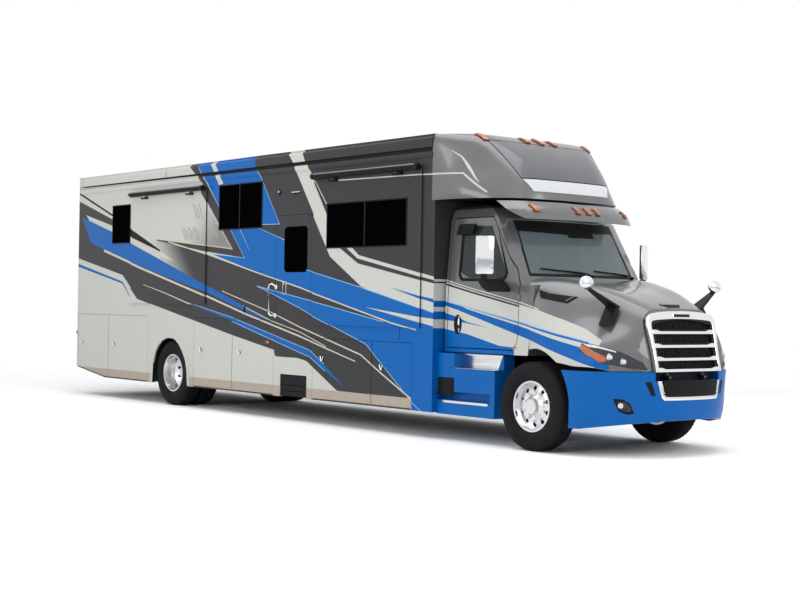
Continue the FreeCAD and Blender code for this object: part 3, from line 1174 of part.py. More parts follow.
def hood():
    """Tilting hood with its fenders: shell, headlamps and hood mirrors."""
    solid = Part.makeLoft([hood_wire(level, 0.0) for level in HOOD_LEVELS], True, False)
    t = HOOD_SKIN_T
    inner_levels = []
    for station, half in HOOD_LEVELS:
        opened = tuple((y, z if z > HOOD_SILL_Z + 1 else z - 200) for y, z in half)
        inner_levels.append((station, opened))
    inner_levels[0] = (inner_levels[0][0] - 60, inner_levels[0][1])
    inner = Part.makeLoft([hood_wire(level, t) for level in inner_levels], True, False)
    ahead = nose_plane_cut()
    behind = ahead.copy()
    behind.translate(V(-NOSE_T, 0, 0))
    shell = solid.cut(ahead).cut(inner.cut(behind))
    arch = rod(V(FRONT_AXLE_X + WHEEL_ARCH_AT[0], -2000, WHEEL_ARCH_AT[1]), V(0, 1, 0), WHEEL_ARCH_R, 4000)
    shell = shell.cut(arch).cut(cab_solid(-HOOD_GAP, -HOOD_GAP))
    shell = shell.cut(front_prism(NOSE_HOLE, FRONT_AXLE_X + 1000, FRONT_AXLE_X + 1500))
    lamp_zone = front_prism([(-y, z) for y, z in HEADLAMP_OUTLINE], FRONT_AXLE_X + 700, FRONT_AXLE_X + 1400)
    deep = Part.makeLoft([hood_wire(level, HEADLAMP_DEPTH) for level in HOOD_LEVELS], True, False)
    lamp = solid.cut(ahead).cut(deep).common(lamp_zone)
    lamps = []
    for _, side in SIDES:
        shell = shell.cut(on_side(lamp_zone, side))
        lamps.append(on_side(lamp, side))
    write("hood", [shell.fuse(hood_cross_bar())])
    write("headlamps", lamps)
    mirror = hood_mirror().cut(solid)
    outside = max(mirror.Solids, key=lambda solid: solid.Volume)
    write("hood_mirrors", [on_side(outside, side) for _, side in SIDES])


def hood_mirror():
    """Convex chromed mirror on a broad tapered arm from the side of the hood."""
    ahead, out, up = HOOD_MIRROR_AT
    scale = FreeCAD.Matrix()
    scale.scale(*HOOD_MIRROR_HALF)
    head = Part.makeSphere(1.0, V(0, 0, 0)).transformGeometry(scale)
    head.translate(V(FRONT_AXLE_X + ahead, -out, up))
    sections = []
    for x, y, z, long, thick in HOOD_MIRROR_ARM:
        x0, x1 = FRONT_AXLE_X + x - long / 2, FRONT_AXLE_X + x + long / 2
        y0, y1 = -y - thick / 2, -y + thick / 2
        corners = [V(x0, y0, z), V(x1, y0, z), V(x1, y1, z), V(x0, y1, z)]
        sections.append(Part.makePolygon(corners + corners[:1]))
    return head.fuse(Part.makeLoft(sections, True, True))


def grille_outline(side_in, low_in, head_in):
    """Front outline of the grille moved in from its edges, with an arched top."""
    low = V(0, GRILLE_LOW_HALF - side_in, low_in)
    high = V(0, GRILLE_TOP_HALF - side_in, GRILLE_SIDE_H - head_in)
    crown = V(0, 0, GRILLE_H - head_in)
    low_r, high_r = V(0, -low.y, low.z), V(0, -high.y, high.z)
    edges = [Part.makeLine(low_r, low), Part.makeLine(low, high), Part.Arc(high, crown, high_r).toShape(),
             Part.makeLine(high_r, low_r)]
    return Part.Face(Part.Wire(edges))


def grille_bar(height):
    """One chromed bar with a thick lug at each end, in the grille's plane."""
    y, thin, lug, long = GRILLE_TOP_HALF, GRILLE_BAR_H, GRILLE_LUG_H, GRILLE_LUG_L
    half = [(y, height - thin), (y, height + lug), (y - GRILLE_FRAME_W - long, height + lug),
            (y - GRILLE_FRAME_W - 1.4 * long, height + thin)]
    ring = half + [(-a, b) for a, b in reversed(half)]
    return front_prism(ring, 10, GRILLE_DEPTH - 6)


def grille():
    """Grille in a leaning plane: chromed surround, bars and upright ribs."""
    outer = grille_outline(0.0, 0.0, 0.0).extrude(V(GRILLE_DEPTH, 0, 0))
    outer = rounded_edges(outer, GRILLE_CORNER_R, along("x"))
    w = GRILLE_FRAME_W
    hole = grille_outline(w, w, GRILLE_HEAD_W).extrude(V(GRILLE_DEPTH + 2, 0, 0))
    hole.translate(V(-1, 0, 0))
    inside = grille_outline(w - 2, w - 2, GRILLE_HEAD_W - 2).extrude(V(GRILLE_DEPTH, 0, 0))
    parts = [grille_bar(height).common(inside) for height in GRILLE_BARS]
    for i in range(GRILLE_RIBS):
        y = (i + 1) * 2 * GRILLE_LOW_HALF / (GRILLE_RIBS + 1) - GRILLE_LOW_HALF
        rib = block(4, 22, y - GRILLE_RIB_W / 2, y + GRILLE_RIB_W / 2, 0, GRILLE_H)
        parts.append(rib.common(inside))
    whole = outer.cut(hole).multiFuse(parts)
    lean = math.degrees(math.atan2(NOSE_LOW[0] - NOSE_HIGH[0], NOSE_HIGH[1] - NOSE_LOW[1]))
    whole.rotate(V(0, 0, 0), V(0, 1, 0), -lean)
    whole.translate(V(FRONT_AXLE_X + NOSE_LOW[0] + SEAT_GAP, 0, NOSE_LOW[1]))
    return [whole]


def plan_loft(levels, inset, sign, ruled=True):
    """Loft through plan outlines, closed across the back."""
    wires = []
    for z, half in levels:
        def place(d, y, z=z):
            return V(FRONT_AXLE_X + sign * d - inset, -(y - inset * (y > 0)), z)
        wires.append(smooth_wire(half, place))
    return Part.makeLoft(wires, True, ruled)


def front_bumper():
    """Moulded bumper round the nose with its lower grille, on two arms from the rails."""
    outer = plan_loft(BUMPER_LEVELS, 0.0, 1)
    first, middle, last = BUMPER_LEVELS
    tall = [(first[0] - 20, first[1]), middle, (last[0] + 20, last[1])]
    shell = outer.cut(plan_loft(tall, BUMPER_T, 1))
    arch = rod(V(FRONT_AXLE_X + WHEEL_ARCH_AT[0], -2000, WHEEL_ARCH_AT[1]), V(0, 1, 0), WHEEL_ARCH_R + 8, 4000)
    (y1, z1), (y0, z0) = LOWER_GRILLE
    mouth = front_prism([(-y0, z0), (y0, z0), (y1, z1), (-y1, z1)], FRONT_AXLE_X + 1100, FRONT_AXLE_X + 1500)
    notch_y, notch_z = BUMPER_NOTCH
    notch = block(FRONT_AXLE_X + 1100, FRONT_AXLE_X + 1500, -notch_y, notch_y, notch_z, last[0] + 1)
    (d0, z0_under), (d1, z1_under) = BUMPER_UNDER
    rise = (z1_under - z0_under) / (d1 - d0)
    under = side_prism([(-d0, z0_under), (-2 * d0, z0_under + rise * d0), (-2 * d0, 0), (-d0, 0)], -2000, 2000)
    shell = shell.cut(arch).cut(mouth).cut(notch)
    skin = plan_loft(BUMPER_LEVELS, BUMPER_T / 3, 1).cut(plan_loft(tall, BUMPER_T - 8, 1))
    parts = []
    for z in LOWER_SLATS:
        half = y0 + (y1 - y0) * (z - z0) / (z1 - z0) + 20
        parts.append(skin.common(block(FRONT_AXLE_X + 1100, FRONT_AXLE_X + 1500, -half, half, z, z + LOWER_SLAT_H)))
    low, high = BUMPER_ARM
    root = FRONT_AXLE_X + RAIL_FRONT
    for _, side in SIDES:
        arm = block(root, FRONT_AXLE_X + 1500, side * (RAIL_Y - RAIL_W), side * RAIL_Y, low, high)
        parts.append(arm.common(outer))
        parts.append(block(root - RAIL_W, root + 1, side * (RAIL_Y - RAIL_W), side * RAIL_Y, low, RAIL_TOP_Z - RAIL_H))
    return [shell.multiFuse(parts).cut(under)]


def sun_visor():
    """Curved visor above the windshield, on ribs from the cab's roof and pillars."""
    outer = plan_loft(VISOR_LEVELS, 0.0, -1)
    first, middle, last = VISOR_LEVELS
    tall = [(first[0] - 20, first[1]), middle, (last[0] + 20, last[1])]
    band = outer.cut(plan_loft(tall, VISOR_T, -1))
    rear = first[1][0][0]
    ribs = []
    for side in (-1.0, 1.0):
        y, low, high = VISOR_MID_RIB
        ribs.append(span(rear, 0.0, side * y - VISOR_RIB_T / 2, side * y + VISOR_RIB_T / 2, low, high))
        y, low, length = VISOR_SIDE_RIB
        ribs.append(span(rear, rear - length, side * y, side * HALF_WIDTH, low, low + VISOR_RIB_T))
    ribs = [rib.common(outer) for rib in ribs]
    return [band.multiFuse(ribs).cut(cab_solid(-SEAT_GAP, -SEAT_GAP))]


def side_fairing(side):
    """Stepped fairing behind the front wheel, over the tank."""
    rear, front, low, high = FAIRING
    y = FAIRING_Y
    t = FAIRING_SKIN
    body = span(rear, front, -y, -y + FAIRING_DEPTH, low, high)
    hollow = span(rear - t, front + t, -y + FAIRING_BACK, -y + FAIRING_DEPTH + 1, low - 1, high - FAIRING_BACK)
    body = body.cut(hollow)
    for step_rear, step_front, step_low, step_high, depth in (UPPER_STEP, LOWER_STEP):
        body = body.cut(span(step_rear, step_front, -y - 1, -y + depth, step_low, step_high))
    return on_side(body, side)


def over_floor(points):
    """Side outline whose heights are given over the cab floor."""
    return [(d, CAB_LOW_Z + CAB_SKIN_T + h) for d, h in points]


def seat(y):
    """Seat with its base, cushion, back and headrest, centred on y."""
    floor_z = CAB_LOW_Z + CAB_SKIN_T
    base_half, cushion_half, back_half = SEAT_HALF
    rear, front, base_h = SEAT_BASE
    base = span(rear, front, y - base_half, y + base_half, floor_z, floor_z + base_h)
    rear, front, cushion_h = SEAT_CUSHION
    cushion = span(rear, front, y - cushion_half, y + cushion_half, floor_z + base_h, floor_z + cushion_h)
    back = side_prism(over_floor(SEAT_BACK), y - back_half, y + back_half)
    rear, front, low, high = HEADREST
    head = span(rear, front, y - HEADREST_HALF, y + HEADREST_HALF, floor_z + low, floor_z + high)
    rear, front, low, high = HEADREST_NECK
    neck = span(rear, front, y - HEADREST_NECK_HALF, y + HEADREST_NECK_HALF, floor_z + low, floor_z + high)
    soft = [rounded_edges(cushion, SEAT_CUSHION_R, along("y")), rounded_edges(head, HEADREST_R, along("y"))]
    return base.multiFuse(soft + [back, neck])


def cab_interior():
    """Two seats, dashboard, console, steering column and wheel."""
    floor_z = CAB_LOW_Z + CAB_SKIN_T
    dash = side_prism(over_floor(DASH_OUTLINE), -DASH_HALF, DASH_HALF)
    rear, front, half, high = CONSOLE
    console = span(rear, front, -half, half, floor_z, floor_z + high)
    d, h = COLUMN_AT
    column = rod(V(aft(d), SEAT_Y, floor_z + h), V(*COLUMN_RUN), *COLUMN_SIZE)
    long, wide, thick = STEERING_SPOKE
    wheel = Part.makeTorus(*STEERING_RADII)
    spoke = Part.makeBox(long, wide, thick, V(-long / 2, -wide / 2, -thick / 2))
    d, h = STEERING_AT
    for shape in (wheel, spoke):
        shape.rotate(V(0, 0, 0), V(0, 1, 0), -STEERING_TILT)
        shape.translate(V(aft(d), SEAT_Y, floor_z + h))
    return [seat(side * SEAT_Y) for _, side in SIDES] + [dash.multiFuse([console, column, wheel, spoke])]


def main():
    os.makedirs("parts", exist_ok=True)
    write("chassis_frame", chassis_frame())
    write("hitch_receiver", hitch_receiver())
    write("front_axle", front_axle())
    write("rear_axle", rear_axle())
    write("engine", engine())
    for name, side in SIDES:
        tyre_solid, rim_solid = front_wheel(side)
        write("front_tyre_%s" % name, [tyre_solid])
        write("front_rim_%s" % name, [rim_solid])
        tyres, rims = rear_wheels(side)
        write("rear_tyres_%s" % name, tyres)
        write("rear_rims_%s" % name, [rims])
        write("knuckle_%s" % name, knuckle(side))
        write("side_wall_%s" % name, side_wall(side))
    baggage_doors()
    door, glass = entry_door()
    write("entry_door", door)
    write("entry_door_glass", glass)
    write("rear_wall", rear_wall())
    write("front_bulkhead", front_bulkhead())
    write("house_floor", house_floor())
    slide_rooms()
    write("wall_windows", wall_windows())
    write("roof", roof())
    write("awning_case", awning_case())
    write("roof_units", roof_units())
    write("basement_bays", basement_bays())
    write("entry_steps", entry_steps())
    write("front_cap", front_cap())
    cab()
    hood()
    write("grille", grille())
    write("front_bumper", front_bumper())
    write("sun_visor", sun_visor())
    write("side_fairings", [side_fairing(side) for _, side in SIDES])
    write("cab_interior", cab_interior())


main()
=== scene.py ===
import bmesh
import bpy
import json
import math
from mathutils import Matrix, Vector
from mathutils.bvhtree import BVHTree
from mathutils.geometry import tessellate_polygon

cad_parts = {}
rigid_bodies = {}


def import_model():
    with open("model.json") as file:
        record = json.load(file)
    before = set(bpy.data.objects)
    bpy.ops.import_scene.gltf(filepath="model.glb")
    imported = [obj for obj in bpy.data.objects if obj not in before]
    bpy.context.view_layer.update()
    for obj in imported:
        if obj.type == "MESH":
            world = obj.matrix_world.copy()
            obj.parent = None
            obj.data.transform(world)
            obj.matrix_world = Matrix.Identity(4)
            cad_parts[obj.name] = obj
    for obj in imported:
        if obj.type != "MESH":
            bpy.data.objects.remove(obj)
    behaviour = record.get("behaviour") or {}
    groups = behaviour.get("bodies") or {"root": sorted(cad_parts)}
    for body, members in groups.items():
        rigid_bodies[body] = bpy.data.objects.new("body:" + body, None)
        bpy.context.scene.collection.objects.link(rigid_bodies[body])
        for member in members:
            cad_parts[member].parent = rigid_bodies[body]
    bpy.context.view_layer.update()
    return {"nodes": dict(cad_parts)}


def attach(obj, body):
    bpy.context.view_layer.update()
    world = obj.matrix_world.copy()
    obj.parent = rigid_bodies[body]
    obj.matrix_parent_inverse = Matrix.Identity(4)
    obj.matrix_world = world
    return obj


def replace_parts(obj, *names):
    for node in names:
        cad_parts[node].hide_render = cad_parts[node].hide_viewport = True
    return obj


# Row frame: +X forward, +Y to the vehicle's left, +Z up, metres. The right side faces the camera.
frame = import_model()
NODES = frame["nodes"]

# Faces of the side walls, slide-out rooms and rear wall, and the wheels' places
SIDES = (("right", -1.0), ("left", 1.0))
WALL_Y = 1.2825
SLIDE_Y = 1.3055
REAR_X = -6.412
FRONT_AXLE, REAR_AXLE = 5.020, -3.130
FRONT_TRACK, REAR_TRACKS = 1.10, (1.105, 0.775)

# Camera, solved from the picture: place, heading, pitch, roll in degrees, focal length in pixels
CAMERA_AT = (16.687, -12.801, 1.676)
CAMERA_TURN = (50.588, -0.192, 0.997)
CAMERA_FOCAL = 1408.4
PICTURE_WIDTH = 800

# Paint, linear
OFF_WHITE = (0.585, 0.590, 0.545)
GRAPHITE = (0.040, 0.040, 0.042)
BLUE = (0.0, 0.118, 0.43)
LIGHT_BLUE = (0.28, 0.48, 0.80)
CREAM = (0.62, 0.56, 0.47)
SILVER = (0.155, 0.160, 0.165)
STRIP = (0.46, 0.385, 0.32)
FADED = (0.24, 0.24, 0.24)

# Share by which roughness varies, depth of relief, and roughness of the clear coat
UNEVEN = 0.08
RELIEF = 0.002
COAT_ROUGH = 0.06

# Meshes: distance at which corners join, the least length, and the bends up to which faces join and look smooth
MERGE = 1e-5
TINY = 1e-6
JOIN = math.radians(0.4)
SMOOTH = math.radians(35)

# Least share of a face's normal along a view for it to be cut and to be painted, and the reach round a cut
CUT_FACING = 0.25
PAINT_FACING = 0.22
CUT_MARGIN = 1e-4


def add_node(tree, kind, sockets=None, **settings):
    """Shader node with its settings; each socket named is linked from another socket or takes a value."""
    node = tree.nodes.new("ShaderNode" + kind)
    for name, value in settings.items():
        setattr(node, name, value)
    for name, value in (sockets or {}).items():
        if isinstance(value, bpy.types.NodeSocket):
            tree.links.new(value, node.inputs[name])
        else:
            node.inputs[name].default_value = value
    return node


def mixed_colour(tree, factor, first, second):
    """Output of a mix of two colours, each given as a socket or as a colour."""
    mix = add_node(tree, "Mix", {0: factor}, data_type="RGBA")
    for socket, value in zip((s for s in mix.inputs if s.type == "RGBA"), (first, second)):
        if isinstance(value, bpy.types.NodeSocket):
            tree.links.new(value, socket)
        else:
            socket.default_value = (*value, 1.0)
    return next(s for s in mix.outputs if s.type == "RGBA")


def node_of(tree, kind):
    """The tree's first node of a type."""
    return next(n for n in tree.nodes if n.type == kind)


def material(name, color, rough=0.5, metal=0.0, coat=0.0, grain=0.04, scale=18.0, bump=0.0, bump_scale=220.0,
             specular=0.5, alpha=1.0):
    """Procedural finish: a slightly uneven colour and gloss, and a fine surface relief."""
    m = bpy.data.materials.new(name)
    m.use_nodes = True
    tree = m.node_tree
    shader = tree.nodes["Principled BSDF"]
    for socket, value in (("Metallic", metal), ("Coat Weight", coat), ("Coat Roughness", COAT_ROUGH),
                          ("Specular IOR Level", specular), ("Alpha", alpha)):
        shader.inputs[socket].default_value = value
    place = add_node(tree, "TexCoord").outputs["Object"]
    noise = add_node(tree, "TexNoise", {"Scale": scale, "Detail": 4.0, "Vector": place}).outputs["Fac"]
    ramp = add_node(tree, "ValToRGB", {"Fac": noise})
    for stop, position, share in zip(ramp.color_ramp.elements, (0.3, 0.7), (1.0 - grain, 1.0 + grain)):
        stop.position = position
        stop.color = [min(1.0, c * share) for c in color] + [1.0]
    gloss = add_node(tree, "MapRange", {"Value": noise, "To Min": rough * (1.0 - UNEVEN),
                                        "To Max": min(1.0, rough * (1.0 + UNEVEN))})
    tree.links.new(ramp.outputs["Color"], shader.inputs["Base Color"])
    tree.links.new(gloss.outputs["Result"], shader.inputs["Roughness"])
    if bump > 0.0:
        fine = add_node(tree, "TexNoise", {"Scale": bump_scale, "Vector": place})
        relief = add_node(tree, "Bump", {"Strength": bump, "Distance": RELIEF, "Height": fine.outputs["Fac"]})
        tree.links.new(relief.outputs["Normal"], shader.inputs["Normal"])
    return m


def paint(name, color, **more):
    """Gloss vehicle paint under clear coat."""
    settings = dict(rough=0.34, coat=0.04, specular=0.16, grain=0.02, bump=0.03)
    settings.update(more)
    return material(name, color, **settings)


def fading_paint(name, first, last, start, end, lean):
    """Paint that turns from one colour to another along the vehicle, the places leaning with height."""
    m = paint(name, first)
    tree = m.node_tree
    split = add_node(tree, "SeparateXYZ", {"Vector": node_of(tree, "TEX_COORD").outputs["Object"]})
    tilt = add_node(tree, "Math", {0: split.outputs["Z"], 1: lean, 2: split.outputs["X"]},
                    operation="MULTIPLY_ADD")
    share = add_node(tree, "MapRange", {"Value": tilt.outputs["Value"], "From Min": start, "From Max": end},
                     interpolation_type="SMOOTHSTEP")
    colour = mixed_colour(tree, share.outputs["Result"], first, last)
    tree.links.new(colour, tree.nodes["Principled BSDF"].inputs["Base Color"])
    return m


def black(name, shade, rough, bump, **more):
    """Dull black finish."""
    return material(name, (shade, shade, shade + 0.001), rough=rough, bump=bump, specular=0.15, **more)


def lens(name, color, rough, bump=0.1, bump_scale=300.0, **more):
    """Coloured lamp lens."""
    return material(name, color, rough=rough, bump=bump, bump_scale=bump_scale, **more)


M = {
    "white": paint("off_white_paint", OFF_WHITE),
    "graphite": paint("graphite_paint", GRAPHITE),
    "blue": paint("blue_paint", BLUE),
    "light_blue": paint("light_blue_line", LIGHT_BLUE),
    "cream": paint("cream_line", CREAM),
    "silver": paint("grey_metallic_paint", SILVER, rough=0.30, metal=0.45, coat=0.6, grain=0.05, scale=900.0),
    "strip": paint("polished_skirt", STRIP, rough=0.32, metal=0.25),
    "black": black("black_trim", 0.006, 0.5, 0.15),
    "rubber": black("tyre_rubber", 0.011, 0.78, 0.4, bump_scale=160.0, grain=0.15),
    "chassis": black("chassis_black", 0.010, 0.6, 0.25, bump_scale=90.0),
    "chrome": material("chrome", (0.80, 0.81, 0.83), rough=0.08, metal=1.0, grain=0.01, bump=0.01),
    "alloy": material("polished_alloy", (0.74, 0.74, 0.75), rough=0.2, metal=1.0, grain=0.03, bump=0.04,
                      bump_scale=60.0),
    "dark_glass": material("dark_glass", (0.0012, 0.0013, 0.0016), rough=0.08, grain=0.1, bump=0.01,
                           specular=0.0),
    "side_glass": material("side_glass", (0.030, 0.040, 0.040), rough=0.05, grain=0.05, bump=0.01, specular=0.3,
                           alpha=0.80),
    "fabric": material("topper_fabric", (0.20, 0.20, 0.24), rough=0.7, grain=0.1, scale=60.0, bump=0.3),
    "clear_glass": material("cab_glass", (0.19, 0.235, 0.25), rough=0.03, grain=0.02, bump=0.005, alpha=0.55),
    "lens": lens("lamp_lens", (0.35, 0.37, 0.40), 0.05, bump=0.02, bump_scale=220.0, grain=0.02, specular=0.25,
                 alpha=0.14),
    "amber": lens("amber_lens", (0.50, 0.125, 0.035), 0.22, coat=0.4),
    "red": lens("red_lens", (0.50, 0.02, 0.02), 0.2, coat=0.4),
    "lining": material("inner_lining", (0.30, 0.29, 0.27), rough=0.7, bump=0.2),
    "bay": material("bay_lining", (0.05, 0.05, 0.052), rough=0.75, bump=0.3),
    "board": material("floor_board", (0.35, 0.24, 0.15), rough=0.45, grain=0.2, scale=6.0, bump=0.1),
    "cabin": material("cabin_grey", (0.09, 0.09, 0.095), rough=0.65, bump=0.3),
    "roof": material("roof_white", (0.66, 0.66, 0.64), rough=0.5, bump=0.1),
    # Pale lens, also used for the painted highlight along the headlamps' upper edge
    "light_strip": lens("light_strip_lens", (0.70, 0.71, 0.74), 0.25, bump=0.05, bump_scale=120.0, coat=0.3,
                        grain=0.02),
    "panel": paint("grey_panel_paint", (0.135, 0.14, 0.15), metal=0.35, coat=0.5),
    "fade": fading_paint("white_to_graphite", OFF_WHITE, GRAPHITE, -1.75, -0.65, 0.8),
    "triangle": fading_paint("white_to_grey", OFF_WHITE, FADED, -5.2, -4.0, -0.9),
}

# Paint outlines on the house side, as (x, z) in the row frame
HOUSE_ZONES = (
    ("graphite", ((-0.76, 3.84), (-0.713, 3.667), (-0.592, 3.529), (-0.564, 3.476), (-0.092, 2.808),
                  (-0.543, 2.814), (-0.685, 2.782), (0.043, 2.576), (0.594, 2.143), (1.846, 1.903),
                  (3.4, 1.70), (3.4, 3.84))),
    ("graphite", ((-6.482, 3.448), (-5.135, 3.053), (-4.499, 2.823), (-3.455, 2.479), (-3.588, 2.67),
                  (-2.1, 2.417), (-0.573, 2.095), (0.444, 1.893), (1.657, 1.625), (3.001, 1.36),
                  (3.4, 1.29), (3.4, 0.44), (2.917, 0.48), (1.352, 0.49), (0.628, 0.865), (-0.188, 0.994),
                  (-1.294, 1.175), (-2.816, 1.447), (-4.187, 1.695), (-4.75, 2.098), (-6.482, 2.42))),
    ("fade", ((-4.498, 2.803), (-3.588, 2.655), (-3.153, 2.596), (-2.099, 2.402), (-2.083, 1.937),
              (-3.398, 2.326), (-4.491, 2.626))),
    ("white", ((-6.118, 3.164), (-5.13, 2.943), (-4.496, 2.763), (-3.455, 2.479), (-3.017, 2.313),
               (-3.826, 2.455), (-4.492, 2.641), (-5.126, 2.835), (-5.992, 3.061))),
    ("blue", ((-6.263, 3.123), (-5.992, 3.061), (-5.126, 2.835), (-4.492, 2.641), (-3.398, 2.326),
              (-2.083, 1.937), (-1.001, 1.619), (-0.245, 1.415), (-0.244, 1.391), (-0.999, 1.555),
              (-2.08, 1.827), (-4.098, 2.232), (-5.431, 2.543), (-5.936, 2.678))),
    ("blue", ((-2.505, 1.629), (-1.302, 1.429), (0.707, 1.007), (1.044, 0.833), (1.497, 0.552),
              (1.07, 0.752), (0.709, 0.932), (0.472, 0.983), (-1.301, 1.387))),
    ("triangle", ((-2.22, 3.361), (-1.305, 2.46), (-3.588, 2.671))),
    ("graphite", ((-2.39, 3.83), (-2.132, 3.543), (-1.718, 3.107), (-1.419, 2.795), (-1.0, 2.334),
                  (-2.101, 2.45), (-3.194, 2.602), (-3.588, 2.671), (-1.305, 2.46), (-2.22, 3.361),
                  (-2.219, 3.517), (-2.64, 3.83))),
    ("blue", ((-2.39, 3.83), (-2.103, 3.542), (-1.718, 3.107), (-1.419, 2.795), (-1.0, 2.334),
              (-1.913, 2.406), (-0.573, 2.095), (0.444, 1.893), (0.706, 1.832), (1.657, 1.625),
              (2.519, 1.439), (3.001, 1.36), (3.4, 1.29), (3.4, 1.40), (3.063, 1.458), (1.988, 1.636),
              (3.061, 1.526), (3.4, 1.50), (3.4, 1.567), (3.058, 1.643), (1.84, 1.909), (0.594, 2.143),
              (0.043, 2.576), (-0.685, 2.782), (-0.543, 2.814), (-0.092, 2.808), (-0.564, 3.476),
              (-0.713, 3.667), (-0.76, 3.84))),
    ("blue", ((-0.659, 1.915), (0.71, 1.71), (1.467, 1.593), (2.361, 1.45), (3.001, 1.36), (3.4, 1.29),
              (3.4, 0.30), (3.178, 0.30), (2.963, 0.42), (1.978, 1.139), (1.885, 1.172), (0.716, 1.514),
              (0.453, 1.602), (-0.356, 1.835))),
    ("white", ((0.085, 3.84), (0.236, 3.678), (0.296, 3.554), (0.812, 2.822), (1.169, 2.32),
               (1.877, 1.91), (3.058, 1.643), (3.4, 1.567), (3.4, 1.937), (3.072, 1.993), (1.8, 2.217),
               (1.342, 2.457), (1.091, 2.472), (1.078, 2.901), (0.64, 3.54), (0.531, 3.667),
               (0.44, 3.84))),
    ("white", ((1.498, 2.453), (1.638, 2.45), (1.813, 2.328), (3.069, 2.086), (3.4, 2.02), (3.4, 1.98),
               (3.071, 2.038), (1.783, 2.286))),
    ("white", ((-2.0, 3.84), (-1.87, 3.667), (-1.747, 3.46), (-1.619, 3.472), (-1.745, 3.667),
               (-1.87, 3.84))),
    ("white", ((1.988, 1.636), (3.061, 1.526), (3.4, 1.50), (3.4, 1.40), (3.063, 1.458))),
    ("blue", ((2.471, 1.903), (3.073, 1.793), (3.4, 1.745), (3.4, 1.695), (3.055, 1.763))),
    ("strip", ((-6.5, 0.0), (3.4, 0.0), (3.4, 0.30), (2.95, 0.472), (2.95, 0.487), (-6.5, 0.487))),
    ("blue", ((2.95, 0.0), (3.4, 0.0), (3.4, 0.50), (2.93, 0.50))),
)

# Narrow lines on the house side: finish, width at the start and at the end, then (x, z) points
HOUSE_LINES = (
    ("black", 0.035, 0.030, ((-6.487, 3.594), (-5.137, 3.122), (-4.5, 2.87), (-3.455, 2.481))),
    ("cream", 0.018, 0.018, ((-3.195, 2.624), (-2.1, 2.417), (-0.573, 2.095), (0.444, 1.893),
                             (0.706, 1.832), (1.657, 1.625), (2.519, 1.439), (3.001, 1.36))),
    ("cream", 0.040, 0.014, ((-5.43, 2.526), (-4.098, 2.211), (-2.078, 1.766), (-0.997, 1.512),
                             (0.465, 1.205), (1.109, 1.052), (1.75, 0.907))),
    ("cream", 0.012, 0.012, ((-1.012, 1.616), (-0.245, 1.408), (0.463, 1.266), (1.085, 1.081))),
    ("cream", 0.012, 0.022, ((-1.602, 1.838), (-1.313, 1.771), (-0.249, 1.528), (0.461, 1.335),
                             (0.723, 1.272), (1.866, 0.999), (2.265, 0.794), (2.917, 0.48))),
    ("cream", 0.008, 0.020, ((-4.0, 1.937), (-3.316, 1.807), (-2.505, 1.629))),
    ("light_blue", 0.010, 0.010, ((-2.505, 1.639), (-1.302, 1.439), (0.707, 1.017), (1.044, 0.843))),
    ("light_blue", 0.010, 0.010, ((-1.301, 1.380), (0.472, 0.975), (0.709, 0.925), (1.07, 0.745))),
    ("blue", 0.055, 0.012, ((-6.436, 2.290), (-4.745, 1.969), (-4.458, 1.720))),
    ("black", 0.130, 0.006, ((-4.55, 2.825), (-3.481, 2.480))),
    ("cream", 0.016, 0.016, ((-2.205, 3.30), (-1.35, 2.478), (-3.45, 2.668))),
    ("light_blue", 0.010, 0.010, ((-2.103, 3.542), (-1.718, 3.107), (-1.419, 2.795), (-1.0, 2.334),
                                  (-1.913, 2.406))),
    ("light_blue", 0.012, 0.006, ((-1.153, 2.786), (-0.866, 2.448))),
    ("light_blue", 0.010, 0.010, ((-0.713, 3.667), (-0.564, 3.476), (-0.092, 2.808), (-0.543, 2.814),
                                  (-0.685, 2.782), (0.043, 2.576))),
    ("light_blue", 0.010, 0.010, ((0.594, 2.143), (1.846, 1.903), (3.058, 1.643), (3.4, 1.567))),
    ("light_blue", 0.010, 0.010, ((-0.659, 1.915), (0.71, 1.71), (1.467, 1.593), (2.361, 1.45))),
    ("light_blue", 0.010, 0.010, ((-0.659, 1.915), (-0.356, 1.835), (0.453, 1.602), (0.716, 1.514),
                                  (1.885, 1.172), (1.978, 1.139), (2.963, 0.42), (3.178, 0.30))),
    ("white", 0.014, 0.014, ((0.795, 3.374), (1.074, 3.042))),
    ("white", 0.016, 0.016, ((1.285, 3.355), (3.026, 3.331), (3.413, 3.321))),
)

# Dark joints round the awning case, as (x, z); the two long bands under the case are partly its black rail and
# partly painted shade in the gap beneath it
AWNING_JOINTS_AND_SHADE = (
    ((-2.30, 3.610), (3.30, 3.610), (3.30, 3.668), (-2.30, 3.668)),
    ((-6.24, 3.650), (-2.30, 3.640), (-2.30, 3.668), (-6.24, 3.668)),
    ((-3.330, 3.66), (-3.318, 3.66), (-3.318, 3.81), (-3.330, 3.81)),
    ((-6.244, 3.66), (-6.234, 3.66), (-6.234, 3.80), (-6.244, 3.80)),
)

